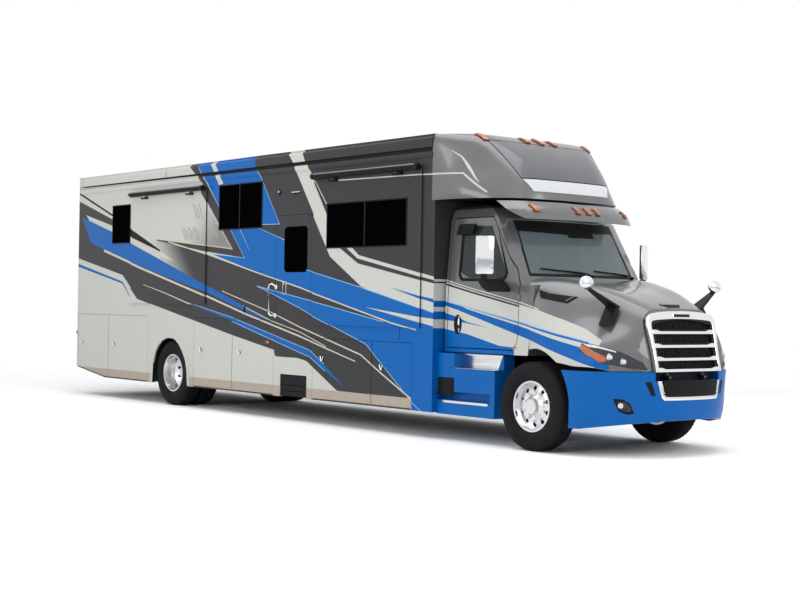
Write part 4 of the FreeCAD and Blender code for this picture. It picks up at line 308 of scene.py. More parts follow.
# Paint outlines on the cab, its doors and the hood's side, as (x, z), and narrow lines over them
CAB_ZONES = (
    ("white", ((3.30, 1.99), (3.457, 1.955), (3.82, 1.875), (4.70, 1.700), (5.012, 1.641), (5.396, 1.533),
               (5.68, 1.436), (5.914, 1.316), (5.93, 1.20), (5.93, 0.80), (3.30, 0.80))),
    ("graphite", ((3.30, 1.975), (3.40, 1.950), (3.82, 1.862), (4.693, 1.692), (4.693, 1.670),
                  (3.82, 1.838), (3.40, 1.925), (3.30, 1.945))),
    ("blue", ((3.30, 1.745), (3.33, 1.732), (3.827, 1.643), (4.651, 1.501), (4.944, 1.444),
              (5.301, 1.385), (5.80, 1.287), (5.80, 1.268), (4.945, 1.425), (4.662, 1.483), (3.68, 1.668),
              (3.768, 1.637), (4.663, 1.457), (4.946, 1.392), (5.808, 1.213), (6.05, 1.10), (6.05, 0.985),
              (5.961, 1.007), (5.355, 1.173), (4.898, 1.285), (4.666, 1.345), (3.604, 1.622),
              (3.30, 1.690))),
    ("blue", ((3.30, 1.605), (3.394, 1.576), (3.607, 1.536), (3.773, 1.478), (4.159, 1.412),
              (3.774, 1.462), (3.588, 1.480), (3.30, 1.498))),
    ("blue", ((3.30, 1.400), (3.388, 1.381), (3.778, 1.329), (4.363, 1.203), (4.62, 1.190), (4.62, 1.00),
              (3.30, 1.00))),
)
CAB_LINES = (
    ("light_blue", 0.010, 0.010, ((3.30, 1.755), (3.827, 1.652), (4.651, 1.510), (4.944, 1.453),
                                  (5.80, 1.296))),
    ("white", 0.014, 0.014, ((3.30, 2.010), (3.457, 1.976), (3.818, 1.897), (4.729, 1.723),
                             (5.011, 1.652))),
    ("graphite", 0.008, 0.008, ((3.30, 1.997), (3.457, 1.963), (3.818, 1.884), (4.729, 1.711))),
)

# Bulkhead's front face, as (y, z): the house stripes carried round the corner
CORNER_BANDS = (("white", 1.50, 1.955), ("blue", 1.655, 1.735), ("blue", 1.50, 1.60), ("white", 1.39, 1.50),
                ("blue", 0.0, 1.39), ("white", 1.975, 2.005))

# Cap's side lines, as (x, z), and its front panel and light strip, as (y, z)
CAP_LINES = (
    ("white", 0.020, 0.020, ((3.20, 3.328), (3.408, 3.322), (3.762, 3.312), (4.104, 3.066))),
    ("white", 0.006, 0.034, ((3.55, 3.612), (3.70, 3.520), (3.80, 3.400))),
    ("white", 0.034, 0.006, ((3.80, 3.400), (3.90, 3.280), (3.985, 3.190))),
)
CAP_PANEL = ((-0.905, 3.742), (0.905, 3.742), (0.80, 3.248), (-0.765, 3.248))
LIGHT_STRIP = ((-0.745, 3.236), (0.745, 3.236), (0.655, 3.088), (-0.655, 3.088))


def line_zone(width_start, width_end, points):
    """Outline of a narrow line that follows points, its width changing evenly."""
    points = [Vector(p) for p in points]
    count = len(points)
    left, right = [], []
    for i, p in enumerate(points):
        before = (p - points[i - 1]).normalized() if i else (points[1] - p).normalized()
        after = (points[i + 1] - p).normalized() if i < count - 1 else before
        along = (before + after).normalized()
        across = Vector((-along.y, along.x)) / max(0.5, along.dot(after))
        half = 0.5 * (width_start + (width_end - width_start) * i / (count - 1))
        left.append(tuple(p + across * half))
        right.append(tuple(p - across * half))
    return tuple(left + right[::-1])


def with_lines(zones, lines):
    """Zones, and over them the outlines of narrow lines."""
    return list(zones) + [(name, line_zone(start, end, points)) for name, start, end, points in lines]


def inside(point, ring):
    """Whether a flat point lies inside an outline."""
    x, y = point
    hit = False
    for i, (x0, y0) in enumerate(ring):
        x1, y1 = ring[i - 1]
        if (y0 > y) != (y1 > y) and x < (x1 - x0) * (y - y0) / (y1 - y0) + x0:
            hit = not hit
    return hit


def finish_at(spot, zones, base):
    """Finish at a flat point: that of the last zone that holds it."""
    for name, ring in reversed(zones):
        if inside(spot, ring):
            return name
    return base


def flat(point, axis):
    """A point as the outlines see it: (x, z) across the vehicle, (y, z) along it."""
    return (point.x, point.z) if axis == 1 else (point.y, point.z)


def lifted(u, v, axis, depth):
    """Point at flat place (u, v), at a depth on the axis."""
    point = [u, v]
    point.insert(axis, depth)
    return Vector(point)


def extent(ring, k):
    """Least and greatest value of one coordinate of some points."""
    values = [p[k] for p in ring]
    return min(values), max(values)


def everything(bm):
    """All the elements of a mesh."""
    return list(bm.verts) + list(bm.edges) + list(bm.faces)


def sample(face, axis):
    """A flat point that surely lies on the face."""
    ring = [v.co for v in face.verts]
    best, size = None, -1.0
    for a, b, c in tessellate_polygon([ring]):
        p, q, r = ring[a], ring[b], ring[c]
        area = (q - p).cross(r - p).length
        if area > size:
            best, size = (p + q + r) / 3.0, area
    return flat(best, axis)


def cut_along(bm, ring, axis, sign):
    """Split the faces that look along sign * axis at every edge of an outline."""
    for i, q in enumerate(ring):
        p = ring[i - 1]
        run = Vector((q[0] - p[0], q[1] - p[1]))
        if run.length < MERGE:
            continue
        normal = Vector((-run.y, run.x)).normalized()
        edge = [extent((p, q), k) for k in (0, 1)]
        chosen = []
        for f in bm.faces:
            if f.normal[axis] * sign < CUT_FACING:
                continue
            spots = [flat(v.co, axis) for v in f.verts]
            spread = [extent(spots, k) for k in (0, 1)]
            if any(face[1] < line[0] - CUT_MARGIN or face[0] > line[1] + CUT_MARGIN
                   for face, line in zip(spread, edge)):
                continue
            sides = [normal.x * (s[0] - p[0]) + normal.y * (s[1] - p[1]) for s in spots]
            if max(sides) > MERGE and min(sides) < -MERGE:
                chosen.append(f)
        if not chosen:
            continue
        verts = {v for f in chosen for v in f.verts}
        edges = {e for f in chosen for e in f.edges}
        bmesh.ops.bisect_plane(bm, geom=list(verts) + list(edges) + chosen, dist=TINY,
                               plane_co=lifted(*p, axis, 0.0), plane_no=lifted(*normal, axis, 0.0))


def mesh_of(node, press=None):
    """A CAD node's mesh, its split corners and flat triangles joined, its sides pressed in when asked."""
    bm = bmesh.new()
    bm.from_mesh(NODES[node].data)
    if press:
        for v in bm.verts:
            if abs(v.co.y) > press:
                v.co.y = math.copysign(press, v.co.y)
        bmesh.ops.remove_doubles(bm, verts=bm.verts, dist=MERGE)
        bmesh.ops.dissolve_degenerate(bm, edges=bm.edges, dist=TINY)
    bmesh.ops.remove_doubles(bm, verts=bm.verts, dist=MERGE)
    bmesh.ops.dissolve_limit(bm, angle_limit=JOIN, verts=bm.verts, edges=bm.edges)
    bm.normal_update()
    return bm


def add_object(name, bm, finishes):
    """Object from a bmesh with its finishes, smooth where its faces nearly agree."""
    mesh = bpy.data.meshes.new(name)
    bm.normal_update()
    for e in bm.edges:
        e.smooth = len(e.link_faces) == 2 and e.calc_face_angle(0.0) <= SMOOTH
    for f in bm.faces:
        f.smooth = True
    bm.to_mesh(mesh)
    bm.free()
    if "custom_normal" in mesh.attributes:
        mesh.attributes.remove(mesh.attributes["custom_normal"])
    for finish in finishes:
        mesh.materials.append(M[finish])
    obj = bpy.data.objects.new(name, mesh)
    bpy.context.scene.collection.objects.link(obj)
    return obj


def body_of(node):
    """Name of the body that carries a CAD node."""
    return NODES[node].parent.name.split(":", 1)[1]


def stand_in(name, bm, finishes, node):
    """Object that replaces a CAD node and rides on its body."""
    obj = add_object(name, bm, finishes)
    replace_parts(obj, node)
    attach(obj, body_of(node))
    return obj


def meets(ring, low, high, u):
    """Whether an outline's extent meets a box's, u the outline's first axis."""
    (u0, u1), (z0, z1) = extent(ring, 0), extent(ring, 1)
    return u1 > low[u] and u0 < high[u] and z1 > low[2] and z0 < high[2]


def repaint(node, base, views, inner=None, inner_name="lining", whole=True, press=None):
    """Stand-in for a CAD node, painted with outlines. Each view is an axis, a sign and its zones; later zones
    lie over earlier ones. A face takes the view it faces most; one that faces none is painted as in the first
    view, or left in the base paint when the node isn't whole."""
    bm = mesh_of(node, press=press)
    low, high = zip(*(extent([v.co for v in bm.verts], i) for i in range(3)))
    near = []
    for axis, sign, zones in views:
        kept = [(name, ring) for name, ring in zones if meets(ring, low, high, 1 - axis)]
        near.append((axis, sign, kept))
        bm.normal_update()
        for _, ring in kept:
            cut_along(bm, ring, axis, sign)
    names = [base] + sorted({name for view in near for name, _ in view[2]} | {inner_name})
    bm.normal_update()
    for f in bm.faces:
        axis, sign, zones = max(near, key=lambda view: f.normal[view[0]] * view[1])
        if f.normal[axis] * sign < PAINT_FACING:
            axis, sign, zones = near[0] if whole else (1, -1.0, ())
        name = finish_at(sample(f, axis), zones, base)
        if inner is not None and inner(f):
            name = inner_name
        f.material_index = names.index(name)
    return stand_in(node + "_painted", bm, names, node)


def inward(sign):
    """Test for faces that look into the vehicle."""
    return lambda f: f.normal.y * sign < -0.5


def sleeve(bm, rings, closed=False):
    """Faces between rings of corners, with the ends filled, or the last ring joined to the first."""
    for a, b in zip(rings, rings[1:] + (rings[:1] if closed else [])):
        for k in range(len(a)):
            bm.faces.new([a[k - 1], a[k], b[k], b[k - 1]])
    if not closed:
        bm.faces.new(rings[0])
        bm.faces.new(rings[-1][::-1])


def corners(bm, points):
    """New mesh corners at some points."""
    return [bm.verts.new(p) for p in points]


class Piece:
    """A piece of trim, drawn on the vehicle's right side or middle and mirrored to the left when wanted."""

    def __init__(self, name, body="coach"):
        self.name, self.body = name, body
        self.bm = bmesh.new()
        self.names, self.current = [], 0

    def use(self, name):
        """Finish of the shapes added next."""
        if name not in self.names:
            self.names.append(name)
        self.current = self.names.index(name)
        return self

    def take(self, bm, bevel=0.0):
        """Add a closed shape, its edges bevelled."""
        bmesh.ops.recalc_face_normals(bm, faces=bm.faces)
        if bevel > 0.0:
            edges = [e for e in bm.edges if len(e.link_faces) == 2 and e.calc_face_angle(0.0) > 0.6]
            bmesh.ops.bevel(bm, geom=edges, offset=bevel, segments=2, affect="EDGES", profile=0.6,
                            clamp_overlap=True)
        copies = {v: self.bm.verts.new(v.co) for v in bm.verts}
        for f in bm.faces:
            self.bm.faces.new([copies[v] for v in f.verts]).material_index = self.current
        bm.free()
        return self

    def box(self, low, high, bevel=0.003, place=None):
        """Box between two corners, moved by a matrix when one is given."""
        bm = bmesh.new()
        bmesh.ops.create_cube(bm, size=1.0)
        for v in bm.verts:
            v.co = Vector([low[i] + (high[i] - low[i]) * (v.co[i] + 0.5) for i in range(3)])
        if place:
            bmesh.ops.transform(bm, matrix=place, verts=bm.verts)
        return self.take(bm, bevel)

    def boxes(self, rows, bevel=0.0):
        """Boxes in a row of finishes, each given as its finish, corners and, if it has its own, bevel."""
        for finish, low, high, *own in rows:
            self.use(finish).box(low, high, *(own or (bevel,)))
        return self

    def prism(self, ring, axis, start, end, bevel=0.003):
        """Flat outline, (x, z), (y, z) or (x, y) by its axis 1, 0 or 2, pushed between two depths."""
        bm = bmesh.new()
        sleeve(bm, [corners(bm, (lifted(*p, axis, depth) for p in ring)) for depth in (start, end)])
        return self.take(bm, bevel)

    def rod(self, a, b, radius, end_radius=None, segments=20, bevel=0.0):
        """Round bar or cone between two points."""
        a, b = Vector(a), Vector(b)
        bm = bmesh.new()
        bmesh.ops.create_cone(bm, cap_ends=True, segments=segments, radius1=radius,
                              radius2=radius if end_radius is None else end_radius, depth=(b - a).length)
        turn = (b - a).to_track_quat("Z", "Y").to_matrix().to_4x4()
        bmesh.ops.transform(bm, matrix=Matrix.Translation((a + b) / 2) @ turn, verts=bm.verts)
        return self.take(bm, bevel)

    def ball(self, centre, radius):
        """Ball about a point."""
        bm = bmesh.new()
        bmesh.ops.create_uvsphere(bm, u_segments=24, v_segments=14, radius=radius)
        bmesh.ops.translate(bm, vec=centre, verts=bm.verts)
        return self.take(bm)

    def tube(self, points, radius, segments=10):
        """Round bar along points."""
        points = [Vector(p) for p in points]
        bm = bmesh.new()
        rings = []
        for i, p in enumerate(points):
            along = (points[min(i + 1, len(points) - 1)] - points[max(i - 1, 0)]).normalized()
            side = along.cross(Vector((0, 0, 1)))
            side = side.normalized() if side.length > 1e-3 else Vector((1, 0, 0))
            up = side.cross(along)
            turns = (math.tau * k / segments for k in range(segments))
            rings.append(corners(bm, (p + radius * (math.cos(t) * side + math.sin(t) * up) for t in turns)))
        sleeve(bm, rings)
        return self.take(bm)

    def band(self, outer, inner, front, depth, bevel=0.003):
        """Frame between two outlines of as many points each; front gives a flat point's place on its face, and
        depth the way back from there."""
        bm = bmesh.new()
        depth = Vector(depth)
        sleeve(bm, [corners(bm, (front(*a), front(*b), front(*b) + depth, front(*a) + depth))
                    for a, b in zip(outer, inner)])
        return self.take(bm, bevel)

    def turned(self, centre, axis, section, segments=48, notch=None):
        """Ring turned about an axis through centre, from (distance along the axis, radius) pairs, closed on
        itself; notch may change a radius by its step round the ring."""
        turn = Vector(axis).to_track_quat("Z", "Y").to_matrix()
        bm = bmesh.new()
        rings = []
        for k in range(segments):
            t = math.tau * k / segments
            reach = [(d, notch(k, d, r) if notch else r) for d, r in section]
            rings.append(corners(bm, (Vector(centre) + turn @ Vector((r * math.cos(t), r * math.sin(t), d))
                                      for d, r in reach)))
        sleeve(bm, rings, closed=True)
        return self.take(bm)

    def patch(self, skin, ring, axis, sign, out=0.003, depth=0.004, step=0.05):
        """Thin plate that follows a curved skin: outline seen along sign * axis, stood out from the skin."""
        bm = bmesh.new()
        bm.faces.new(corners(bm, ((p[0], p[1], 0.0) for p in ring)))
        for k in (0, 1):
            low, high = extent(ring, k)
            normal = Vector([float(i == k) for i in range(3)])
            for n in range(1, int((high - low) / step) + 1):
                bmesh.ops.bisect_plane(bm, geom=everything(bm), plane_co=normal * (low + n * step),
                                       plane_no=normal)
        spots = {v: skin.at(v.co.x, v.co.y, axis, sign) for v in bm.verts}
        for v, (hit, normal) in spots.items():
            v.co = hit + normal * out
        back = {v: bm.verts.new(hit - normal * depth) for v, (hit, normal) in spots.items()}
        for f in list(bm.faces):
            bm.faces.new([back[v] for v in f.verts][::-1])
        rim = [e.verts[:] for e in bm.edges if len(e.link_faces) == 1 and all(v in back for v in e.verts)]
        for a, b in rim:
            bm.faces.new([a, b, back[b], back[a]])
        return self.take(bm)

    def seam(self, skin, points, axis, sign, width, out=0.001, step=0.03, sunk=0.004):
        """Narrow strip along a line on a curved skin."""
        path = []
        for a, b in zip(points, points[1:]):
            run = Vector(b) - Vector(a)
            count = max(1, int(run.length / step))
            path += [Vector(a) + run * n / count for n in range(count)]
        path.append(Vector(points[-1]))
        spots = [skin.at(p.x, p.y, axis, sign) for p in path]
        bm = bmesh.new()
        rings = []
        for i, (hit, normal) in enumerate(spots):
            along = (spots[min(i + 1, len(spots) - 1)][0] - spots[max(i - 1, 0)][0]).normalized()
            across = normal.cross(along).normalized() * width / 2
            rings.append(corners(bm, (hit + across + normal * out, hit - across + normal * out,
                                      hit - across - normal * sunk, hit + across - normal * sunk)))
        sleeve(bm, rings)
        return self.take(bm)

    def done(self, mirrored=False, left_body=None):
        """Make the object, and its mirrored twin on the left when asked."""
        twin = self.bm.copy() if mirrored else None
        obj = add_object(self.name + ("_right" if mirrored else ""), self.bm, self.names)
        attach(obj, self.body)
        if mirrored:
            for v in twin.verts:
                v.co.y = -v.co.y
            bmesh.ops.reverse_faces(twin, faces=twin.faces)
            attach(add_object(self.name + "_left", twin, self.names), left_body or self.body)
        return obj


class Skin:
    """Outer surface of some CAD nodes, to place trim on."""

    FAR = 9.0

    def __init__(self, *names):
        points, faces = [], []
        for name in names:
            mesh = NODES[name].data
            start = len(points)
            points += [v.co.copy() for v in mesh.vertices]
            faces += [[start + i for i in p.vertices] for p in mesh.polygons]
        self.tree = BVHTree.FromPolygons(points, faces)

    def at(self, u, v, axis, sign):
        """First point of the surface met from outside at flat place (u, v), and its outward normal."""
        way = Vector([-sign if i == axis else 0.0 for i in range(3)])
        hit, normal, _, _ = self.tree.ray_cast(lifted(u, v, axis, self.FAR * sign), way)
        if hit is None:
            hit, normal, _, _ = self.tree.find_nearest(lifted(u, v, axis, sign))
        return hit, (-normal if normal.dot(way) > 0 else normal)


def split_finish(node, choose):
    """Stand-in for a CAD node whose faces take the finish that choose names, or go when it names none."""
    bm = mesh_of(node)
    picked = {f: choose(f) for f in bm.faces}
    names = sorted({name for name in picked.values() if name})
    for f, name in picked.items():
        if name:
            f.material_index = names.index(name)
    bmesh.ops.delete(bm, geom=[f for f, name in picked.items() if name is None], context="FACES")
    return stand_in(node + "_finished", bm, names, node)


# Painted bodywork
# Half width of the bands round the corner, the slide-out rooms' inner side, and the height under which the
# cap's underside is painted black as painted shade
CORNER_Y = 1.29
ROOM_INSIDE = -1.25
CAP_UNDERSIDE = 3.01
house_zones = with_lines(HOUSE_ZONES, HOUSE_LINES)
both_sides = [(1, sign, house_zones) for _, sign in SIDES]
for side_name, sign in SIDES:
    view = [(1, sign, house_zones)]
    repaint("side_wall_" + side_name, "white", view, inner=inward(sign))
    for number in range(1, 7):
        repaint("baggage_door_%s_%d" % (side_name, number), "white", view, inner=inward(sign), press=WALL_Y)
right_view = both_sides[:1]
repaint("entry_door", "graphite", right_view, inner=inward(-1.0), press=WALL_Y)
for node in ("slide_room_front", "slide_room_rear"):
    repaint(node, "white", right_view,
            inner=lambda f: f.normal.y > 0.5 or f.calc_center_median().y > ROOM_INSIDE)
# Awning case, with its dark joints and the black band under it, partly rail and partly painted shade
repaint("awning_case", "white", [(1, -1.0, house_zones + [("black", ring) for ring in AWNING_JOINTS_AND_SHADE])])
repaint("roof", "roof", both_sides, whole=False)
rear = repaint("rear_wall", "white", both_sides, inner=lambda f: abs(f.normal.x) > 0.9, inner_name="white")
for v in rear.data.vertices:
    v.co.x = max(v.co.x, REAR_X)
corner_zones = [(name, ((-CORNER_Y, low), (CORNER_Y, low), (CORNER_Y, high), (-CORNER_Y, high)))
                for name, low, high in CORNER_BANDS]
repaint("front_bulkhead", "graphite", both_sides + [(0, 1.0, corner_zones)], whole=False)

cab_zones = with_lines(CAB_ZONES, CAB_LINES)
cab_views = [(1, sign, cab_zones) for _, sign in SIDES]
for (side_name, sign), view in zip(SIDES, cab_views):
    repaint("cab_door_" + side_name, "silver", [view], inner=inward(sign), inner_name="cabin")
cap_zones = with_lines((), CAP_LINES)
cap_views = [(1, sign, cap_zones) for _, sign in SIDES] + [(0, 1.0, [("panel", CAP_PANEL)])]
# Cap: its low underside faces are painted black, painted shade in the gap over the cab
repaint("front_cap", "silver", cap_views, inner_name="black", whole=False,
        inner=lambda f: f.normal.z < -0.9 and f.calc_center_median().z < CAP_UNDERSIDE)
for node in ("cab_shell", "hood"):
    repaint(node, "silver", cab_views, whole=False)

# Plain finishes
FINISH = {
    "chassis": ("chassis_frame", "hitch_receiver", "front_axle", "rear_axle", "engine", "knuckle_right",
                "knuckle_left", "entry_steps"),
    "alloy": ("front_rim_right", "front_rim_left", "rear_rims_right", "rear_rims_left"),
    "dark_glass": ("wall_windows", "slide_window", "entry_door_glass"),
    "clear_glass": ("windshield",),
    "side_glass": ("cab_door_glass_right", "cab_door_glass_left"),
    "lens": ("headlamps",),
    "bay": ("basement_bays",),
    "board": ("house_floor",),
    "cabin": ("cab_interior",),
    "roof": ("roof_units",),
}
for finish, names in FINISH.items():
    for name in names:
        for slot in NODES[name].material_slots:
            slot.link = "OBJECT"
            slot.material = M[finish]

# Hood mirrors' bright heads, door mirrors' dark arms, grille, bumper with its mouth, and side fairings
MIRROR_HEAD, MIRROR_REACH = Vector((5.790, 1.140, 1.960)), 0.118
ARM_TOP = 2.052
MOUTH = ((-0.47, 0.67), (0.47, 0.67), (0.50, 0.90), (-0.50, 0.90))


def on_mirror_head(face):
    """Whether a face belongs to the head of a hood mirror."""
    spots = (Vector((v.co.x, abs(v.co.y), v.co.z)) for v in face.verts)
    return all((spot - MIRROR_HEAD).length < MIRROR_REACH for spot in spots)


split_finish("hood_mirrors", lambda f: "chrome" if on_mirror_head(f) else "black")
for side_name, _ in SIDES:
    split_finish("door_mirror_" + side_name, lambda f: "black" if f.calc_center_median().z < ARM_TOP else None)
split_finish("grille", lambda f: "black")
repaint("front_bumper", "blue", [(0, 1.0, [("black", MOUTH)])], inner=lambda f: f.normal.z < -0.6,
        inner_name="strip", whole=False)
split_finish("side_fairings", lambda f: "blue")

# Tyres: the wheels' section with shoulder blocks and grooves in the tread
TYRE_RADIUS = 0.520
TYRE_HALF = 0.140
TYRE_WALL = ((0.046, 0.288), (0.040, 0.300), (0.028, 0.316), (0.014, 0.330), (0.004, 0.362), (0.0015, 0.366),
             (0.0, 0.402), (0.003, 0.432), (0.001, 0.436), (0.006, 0.460), (0.014, 0.484), (0.026, 0.506),
             (0.036, 0.516), (0.048, TYRE_RADIUS))
TREAD_GROOVES = (-0.078, -0.040, 0.0, 0.040, 0.078)
GROOVE_HALF, GROOVE_FLOOR, GROOVE_DEPTH = 0.006, 0.6, 0.012
SHOULDER_BLOCKS, BLOCK_STEPS = 60, 4
SHOULDER_IN, SHOULDER_TALL, BLOCK_DEPTH = 0.088, 0.020, 0.010


def shoulder_notch(k, d, r):
    """Radius of a tyre's section where the gaps between its shoulder blocks are cut."""
    cut = k % BLOCK_STEPS == 0 and abs(d) > SHOULDER_IN and r > TYRE_RADIUS - SHOULDER_TALL
    return r - BLOCK_DEPTH if cut else r


def tyre(piece, centre):
    """One treaded tyre about a wheel centre."""
    wall = [(inset - TYRE_HALF, r) for inset, r in TYRE_WALL]
    grooves = [(y + side * GROOVE_HALF * share, TYRE_RADIUS - depth) for y in TREAD_GROOVES
               for side, share, depth in ((-1, 1.0, 0.0), (-1, GROOVE_FLOOR, GROOVE_DEPTH),
                                          (1, GROOVE_FLOOR, GROOVE_DEPTH), (1, 1.0, 0.0))]
    piece.turned(centre, (0, 1, 0), wall + grooves + [(-y, r) for y, r in reversed(wall)],
                 segments=SHOULDER_BLOCKS * BLOCK_STEPS, notch=shoulder_notch)


for side_name, sign in SIDES:
    for name, body, node, axle, tracks in (
            ("front_tyre_tread_", "front_wheel_", "front_tyre_", FRONT_AXLE, (FRONT_TRACK,)),
            ("rear_tyre_treads_", "rear_wheels_", "rear_tyres_", REAR_AXLE, REAR_TRACKS)):
        piece = Piece(name + side_name, body + side_name).use("rubber")
        for track in tracks:
            tyre(piece, (axle, sign * track, TYRE_RADIUS))
        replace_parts(piece.done(), node + side_name)

# Black ring behind the hand holes of each front wheel disc, painted shade seen through the holes, as (distance
# out, radius)
DISC_Y = 1.145
HOLE_SHADE_RING = ((-0.013, 0.183), (-0.013, 0.200), (-0.027, 0.244), (-0.030, 0.244), (-0.016, 0.200),
             (-0.016, 0.183))
for side_name, sign in SIDES:
    piece = Piece("front_wheel_hole_ring_" + side_name, "front_wheel_" + side_name).use("black")
    piece.turned((FRONT_AXLE, sign * DISC_Y, TYRE_RADIUS), (0, sign, 0), HOLE_SHADE_RING)
    piece.done()

# Cap: joint round the panel, light strip and marker lamps
cap = Skin("front_cap")
piece = Piece("cap_panel_joint").use("black")
piece.seam(cap, CAP_PANEL + CAP_PANEL[:1], 0, 1.0, width=0.012)
piece.done()
piece = Piece("cap_light_strip").use("light_strip")
piece.patch(cap, LIGHT_STRIP, 0, 1.0, out=0.006, depth=0.006)
piece.done()

# Marker lamps' places, as (y, z)
CAP_MARKERS = ((-0.931, 3.771), (-0.244, 3.787), (0.0, 3.784), (0.244, 3.787), (0.931, 3.771))
VISOR_MARKERS = ((-0.792, 2.864), (-0.175, 2.858), (0.0, 2.857), (0.175, 2.858), (0.792, 2.864))
MARKER_HALF, MARKER_LEAN = 0.028, 0.012


def marker_lamps(name, skin, places, tall):
    """Amber lamps on a skin, longer one way, on dark feet."""
    piece = Piece(name)
    for y, z in places:
        for finish, grow, out in (("black", 0.006, 0.004), ("amber", 0.0, 0.022)):
            half_y, half_z = MARKER_HALF + grow, tall / 2 + grow
            ring = [(y + i * half_y - j * MARKER_LEAN, z + j * half_z)
                    for i, j in ((-1, 1), (1, 1), (1, -1), (-1, -1))]
            piece.use(finish).patch(skin, ring, 0, 1.0, out=out, depth=0.003, step=0.03)
    piece.done()


marker_lamps("cap_marker_lamps", cap, CAP_MARKERS, 0.080)
marker_lamps("visor_marker_lamps", Skin("sun_visor"), VISOR_MARKERS, 0.075)

# Windshield: dark border and wipers; outlines as (y, z)
glass = Skin("windshield")
BORDER, TOP_BORDER = 0.035, 0.09
(LOW_Y, LOW_Z), (HIGH_Y, HIGH_Z) = (0.925, 2.045), (0.860, 2.735)
piece = Piece("windshield_border").use("black")
for ring in (
    ((-LOW_Y, LOW_Z), (LOW_Y, LOW_Z), (LOW_Y - BORDER, LOW_Z + BORDER), (BORDER - LOW_Y, LOW_Z + BORDER)),
    ((-HIGH_Y, HIGH_Z - TOP_BORDER), (HIGH_Y, HIGH_Z - TOP_BORDER), (HIGH_Y, HIGH_Z), (-HIGH_Y, HIGH_Z)),
    ((LOW_Y, LOW_Z), (HIGH_Y, HIGH_Z), (HIGH_Y - BORDER, HIGH_Z), (LOW_Y - BORDER, LOW_Z)),
    ((-LOW_Y, LOW_Z), (BORDER - LOW_Y, LOW_Z), (BORDER - HIGH_Y, HIGH_Z), (-HIGH_Y, HIGH_Z)),
):
    piece.patch(glass, ring, 0, 1.0, out=0.003, depth=0.002, step=0.12)
piece.done()


def over_glass(y, z, out):
    """Place ahead of the windshield."""
    hit, normal = glass.at(y, z, 0, 1.0)
    return hit + normal * out


# Wipers' blades, from y to y and from z to z, and their feet beside and below
WIPERS = ((-0.74, -0.08, 2.135, 2.085), (0.10, 0.80, 2.125, 2.080))
FOOT_ASIDE, FOOT_Z = 0.10, 2.05
piece = Piece("windshield_wipers").use("black")
for y0, y1, z0, z1 in WIPERS:
    middle = ((y0 + y1) / 2, (z0 + z1) / 2)
    foot = (y1 + FOOT_ASIDE, FOOT_Z)
    piece.tube([over_glass(y0, z0, 0.016), over_glass(*middle, 0.018), over_glass(y1, z1, 0.016)], 0.009)
    piece.tube([over_glass(*middle, 0.026), over_glass(y1, z1, 0.03), over_glass(*foot, 0.03)], 0.008)
    piece.rod(over_glass(*foot, 0.0), over_glass(*foot, 0.04), 0.018, 0.014)
piece.done()

# Hood: side vents as (x, z), and scoop as (x, y)
SIDE_VENT = ((4.965, 1.880), (5.111, 1.838), (5.425, 1.800), (5.350, 1.722), (5.010, 1.782))
VENT_EDGE = ((5.372, 1.802), (5.318, 1.752))
SCOOP = ((6.055, -0.15), (6.055, 0.15), (6.105, 0.11), (6.118, -0.11))
SCOOP_LIP = ((6.030, -0.17), (6.030, 0.17), (6.058, 0.155), (6.058, -0.155))
hood_skin = Skin("hood")
piece = Piece("hood_side_vent", "hood")
piece.use("black").patch(hood_skin, SIDE_VENT, 1, -1.0, out=0.002, depth=0.003, step=0.04)
piece.use("silver").seam(hood_skin, VENT_EDGE, 1, -1.0, width=0.012, out=0.006)
piece.done(mirrored=True)
piece = Piece("hood_scoop", "hood")
piece.use("black").patch(hood_skin, SCOOP, 2, 1.0, out=0.003, depth=0.003)
piece.use("silver").patch(hood_skin, SCOOP_LIP, 2, 1.0, out=0.014, depth=0.003)
piece.done()

# Headlamps, as (y, z): dark bowl and two projectors behind the clear lens, amber end on it, and a pale strip
# along its upper edge that is a painted highlight
BOWL = ((-0.66, 1.00), (-0.80, 1.010), (-1.10, 1.075), (-1.165, 1.155), (-1.165, 1.30), (-1.075, 1.255),
        (-0.895, 1.175), (-0.71, 1.065))
PROJECTORS = ((-1.010, 1.130), (-0.885, 1.080))
AMBER_END = ((-1.170, 1.30), (-1.140, 1.275), (-1.118, 1.190), (-1.050, 1.125), (-1.058, 1.083),
             (-1.110, 1.072), (-1.168, 1.150))
HEADLAMP_PAINTED_HIGHLIGHT = ((-1.132, 1.285), (-1.075, 1.252), (-0.950, 1.196), (-0.955, 1.182), (-1.080, 1.228),
               (-1.122, 1.240))
lamp_skin = Skin("headlamps")
piece = Piece("headlamp_inside", "hood")
piece.use("chassis").patch(lamp_skin, BOWL, 0, 1.0, out=-0.030, depth=0.004)
for y, z in PROJECTORS:
    hit, normal = lamp_skin.at(y, z, 0, 1.0)
    aim = (normal + Vector((1.2, 0, 0))).normalized()
    piece.use("chrome").rod(hit - aim * 0.060, hit - aim * 0.012, 0.036, 0.046)
    piece.use("light_strip").ball(hit - aim * 0.014, 0.030)
piece.use("amber").patch(lamp_skin, AMBER_END, 0, 1.0, out=0.002, depth=0.003)
# Pale strip along the lens's upper edge: painted highlight
piece.use("light_strip").patch(lamp_skin, HEADLAMP_PAINTED_HIGHLIGHT, 0, 1.0, out=0.003, depth=0.002)
piece.done(mirrored=True)

